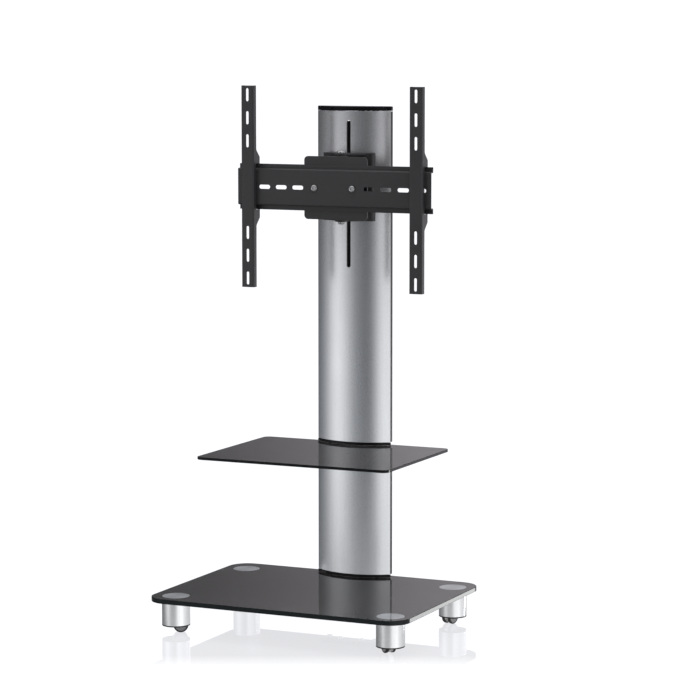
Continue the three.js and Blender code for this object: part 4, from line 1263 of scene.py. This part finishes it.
# below the horizon: the studio's pale floor, brighter towards the lamps
below = grey_ramp(wt, compass(wt, sep.outputs["X"], sep.outputs["Y"]), [
    (-179.9, 0.60), (-150, 0.34), (-121, 0.19), (-88, 0.27), (-62, 0.31), (-52, 0.42), (-43, 0.62), (-33, 0.72), (-24, 0.64), (-8, 0.60),
    (8, 0.66), (25, 0.80), (40, 0.97), (56, 1.14), (74, 1.34), (84, 1.26), (97, 1.02), (110, 0.86),
    (128, 0.70), (150, 0.62), (179.9, 0.60)], "LINEAR")
ramp = wt.nodes.new("ShaderNodeMapRange")
ramp.interpolation_type = "SMOOTHSTEP"
wt.links.new(sep.outputs["Z"], ramp.inputs["Value"])
ramp.inputs["From Min"].default_value = 0.25
ramp.inputs["From Max"].default_value = 0.85
ramp.inputs["To Min"].default_value = 0.45
ramp.inputs["To Max"].default_value = 1.15
side = wt.nodes.new("ShaderNodeMapRange")
wt.links.new(sep.outputs["Z"], side.inputs["Value"])
side.inputs["From Min"].default_value = -0.02
side.inputs["From Max"].default_value = 0.04
# overhead: two broad boxes, left and right of the camera
boxes = grey_ramp(wt, compass(wt, sep.outputs["X"], sep.outputs["Y"]), [
    (-179.9, 0.55), (-120, 0.5), (-75, 1.0), (-45, 1.5), (-15, 0.85), (10, 0.6), (35, 1.2), (60, 1.6), (95, 0.9), (130, 0.5), (179.9, 0.55)], "CARDINAL")
over = wt.nodes.new("ShaderNodeVectorMath")
over.operation = "MULTIPLY"
wt.links.new(ramp.outputs["Result"], over.inputs[0])
wt.links.new(boxes, over.inputs[1])
both = wt.nodes.new("ShaderNodeMix")
both.data_type = "RGBA"
wt.links.new(side.outputs["Result"], both.inputs["Factor"])
# steeply down it darkens, as it does under the object
steep = wt.nodes.new("ShaderNodeMapRange")
wt.links.new(sep.outputs["Z"], steep.inputs["Value"])
for key, v in (("From Min", -0.27), ("From Max", -0.42), ("To Min", 1.0), ("To Max", 0.3)):
    steep.inputs[key].default_value = v
down = wt.nodes.new("ShaderNodeVectorMath")
down.operation = "MULTIPLY"
wt.links.new(below, down.inputs[0])
wt.links.new(steep.outputs["Result"], down.inputs[1])
wt.links.new(down.outputs["Vector"], both.inputs[6])
wt.links.new(over.outputs["Vector"], both.inputs[7])
soft = wt.nodes.new("ShaderNodeBackground")
wt.links.new(both.outputs[2], soft.inputs["Color"])
plain = wt.nodes.new("ShaderNodeBackground")
plain.inputs["Color"].default_value = (1.0, 1.0, 1.0, 1.0)
plain.inputs["Strength"].default_value = 1.05
path = wt.nodes.new("ShaderNodeLightPath")
white = wt.nodes.new("ShaderNodeMath")
white.operation = "MAXIMUM"
wt.links.new(path.outputs["Is Camera Ray"], white.inputs[0])
wt.links.new(path.outputs["Is Singular Ray"], white.inputs[1])
mixer = wt.nodes.new("ShaderNodeMixShader")
wt.links.new(white.outputs[0], mixer.inputs[0])
wt.links.new(soft.outputs[0], mixer.inputs[1])
wt.links.new(plain.outputs[0], mixer.inputs[2])
wt.links.new(mixer.outputs[0], out.inputs["Surface"])


def softbox(name, at, look, width, height, power, glossy=False):
    light = bpy.data.lights.new(name, "AREA")
    light.shape, light.size, light.size_y, light.energy = "RECTANGLE", width, height, power
    o = bpy.data.objects.new(name, light)
    o.location = at
    o.rotation_euler = (Vector(look) - Vector(at)).to_track_quat("-Z", "Y").to_euler()
    o.visible_camera = False
    o.visible_glossy = glossy
    scene.collection.objects.link(o)
    return o


# two tall boxes either side of the camera, and a wide one overhead
softbox("box_left", (-1.30, -1.25, 0.95), (0, 0.17, 0.95), 1.5, 1.9, 10)
softbox("box_right", (1.75, 0.05, 0.95), (0, 0.17, 0.95), 1.7, 1.9, 12)
softbox("box_top", (0.2, -0.2, 2.9), (0, 0, 0.5), 2.4, 2.0, 60)

# ------------------------------------------------------------------ camera
cam = bpy.data.cameras.new("camera")
cam.lens, cam.sensor_width, cam.sensor_fit = 141.506, 36.0, "HORIZONTAL"
cam.clip_start, cam.clip_end = 0.05, 200.0
cam_o = bpy.data.objects.new("camera", cam)
cam_o.location = (2.525143, -5.281797, 1.2735)
cam_o.rotation_euler = (math.radians(90 - 6.526), 0.0, math.radians(24.8205))
scene.collection.objects.link(cam_o)
scene.camera = cam_o
scene.view_settings.view_transform = "Standard"
scene.view_settings.look = "None"
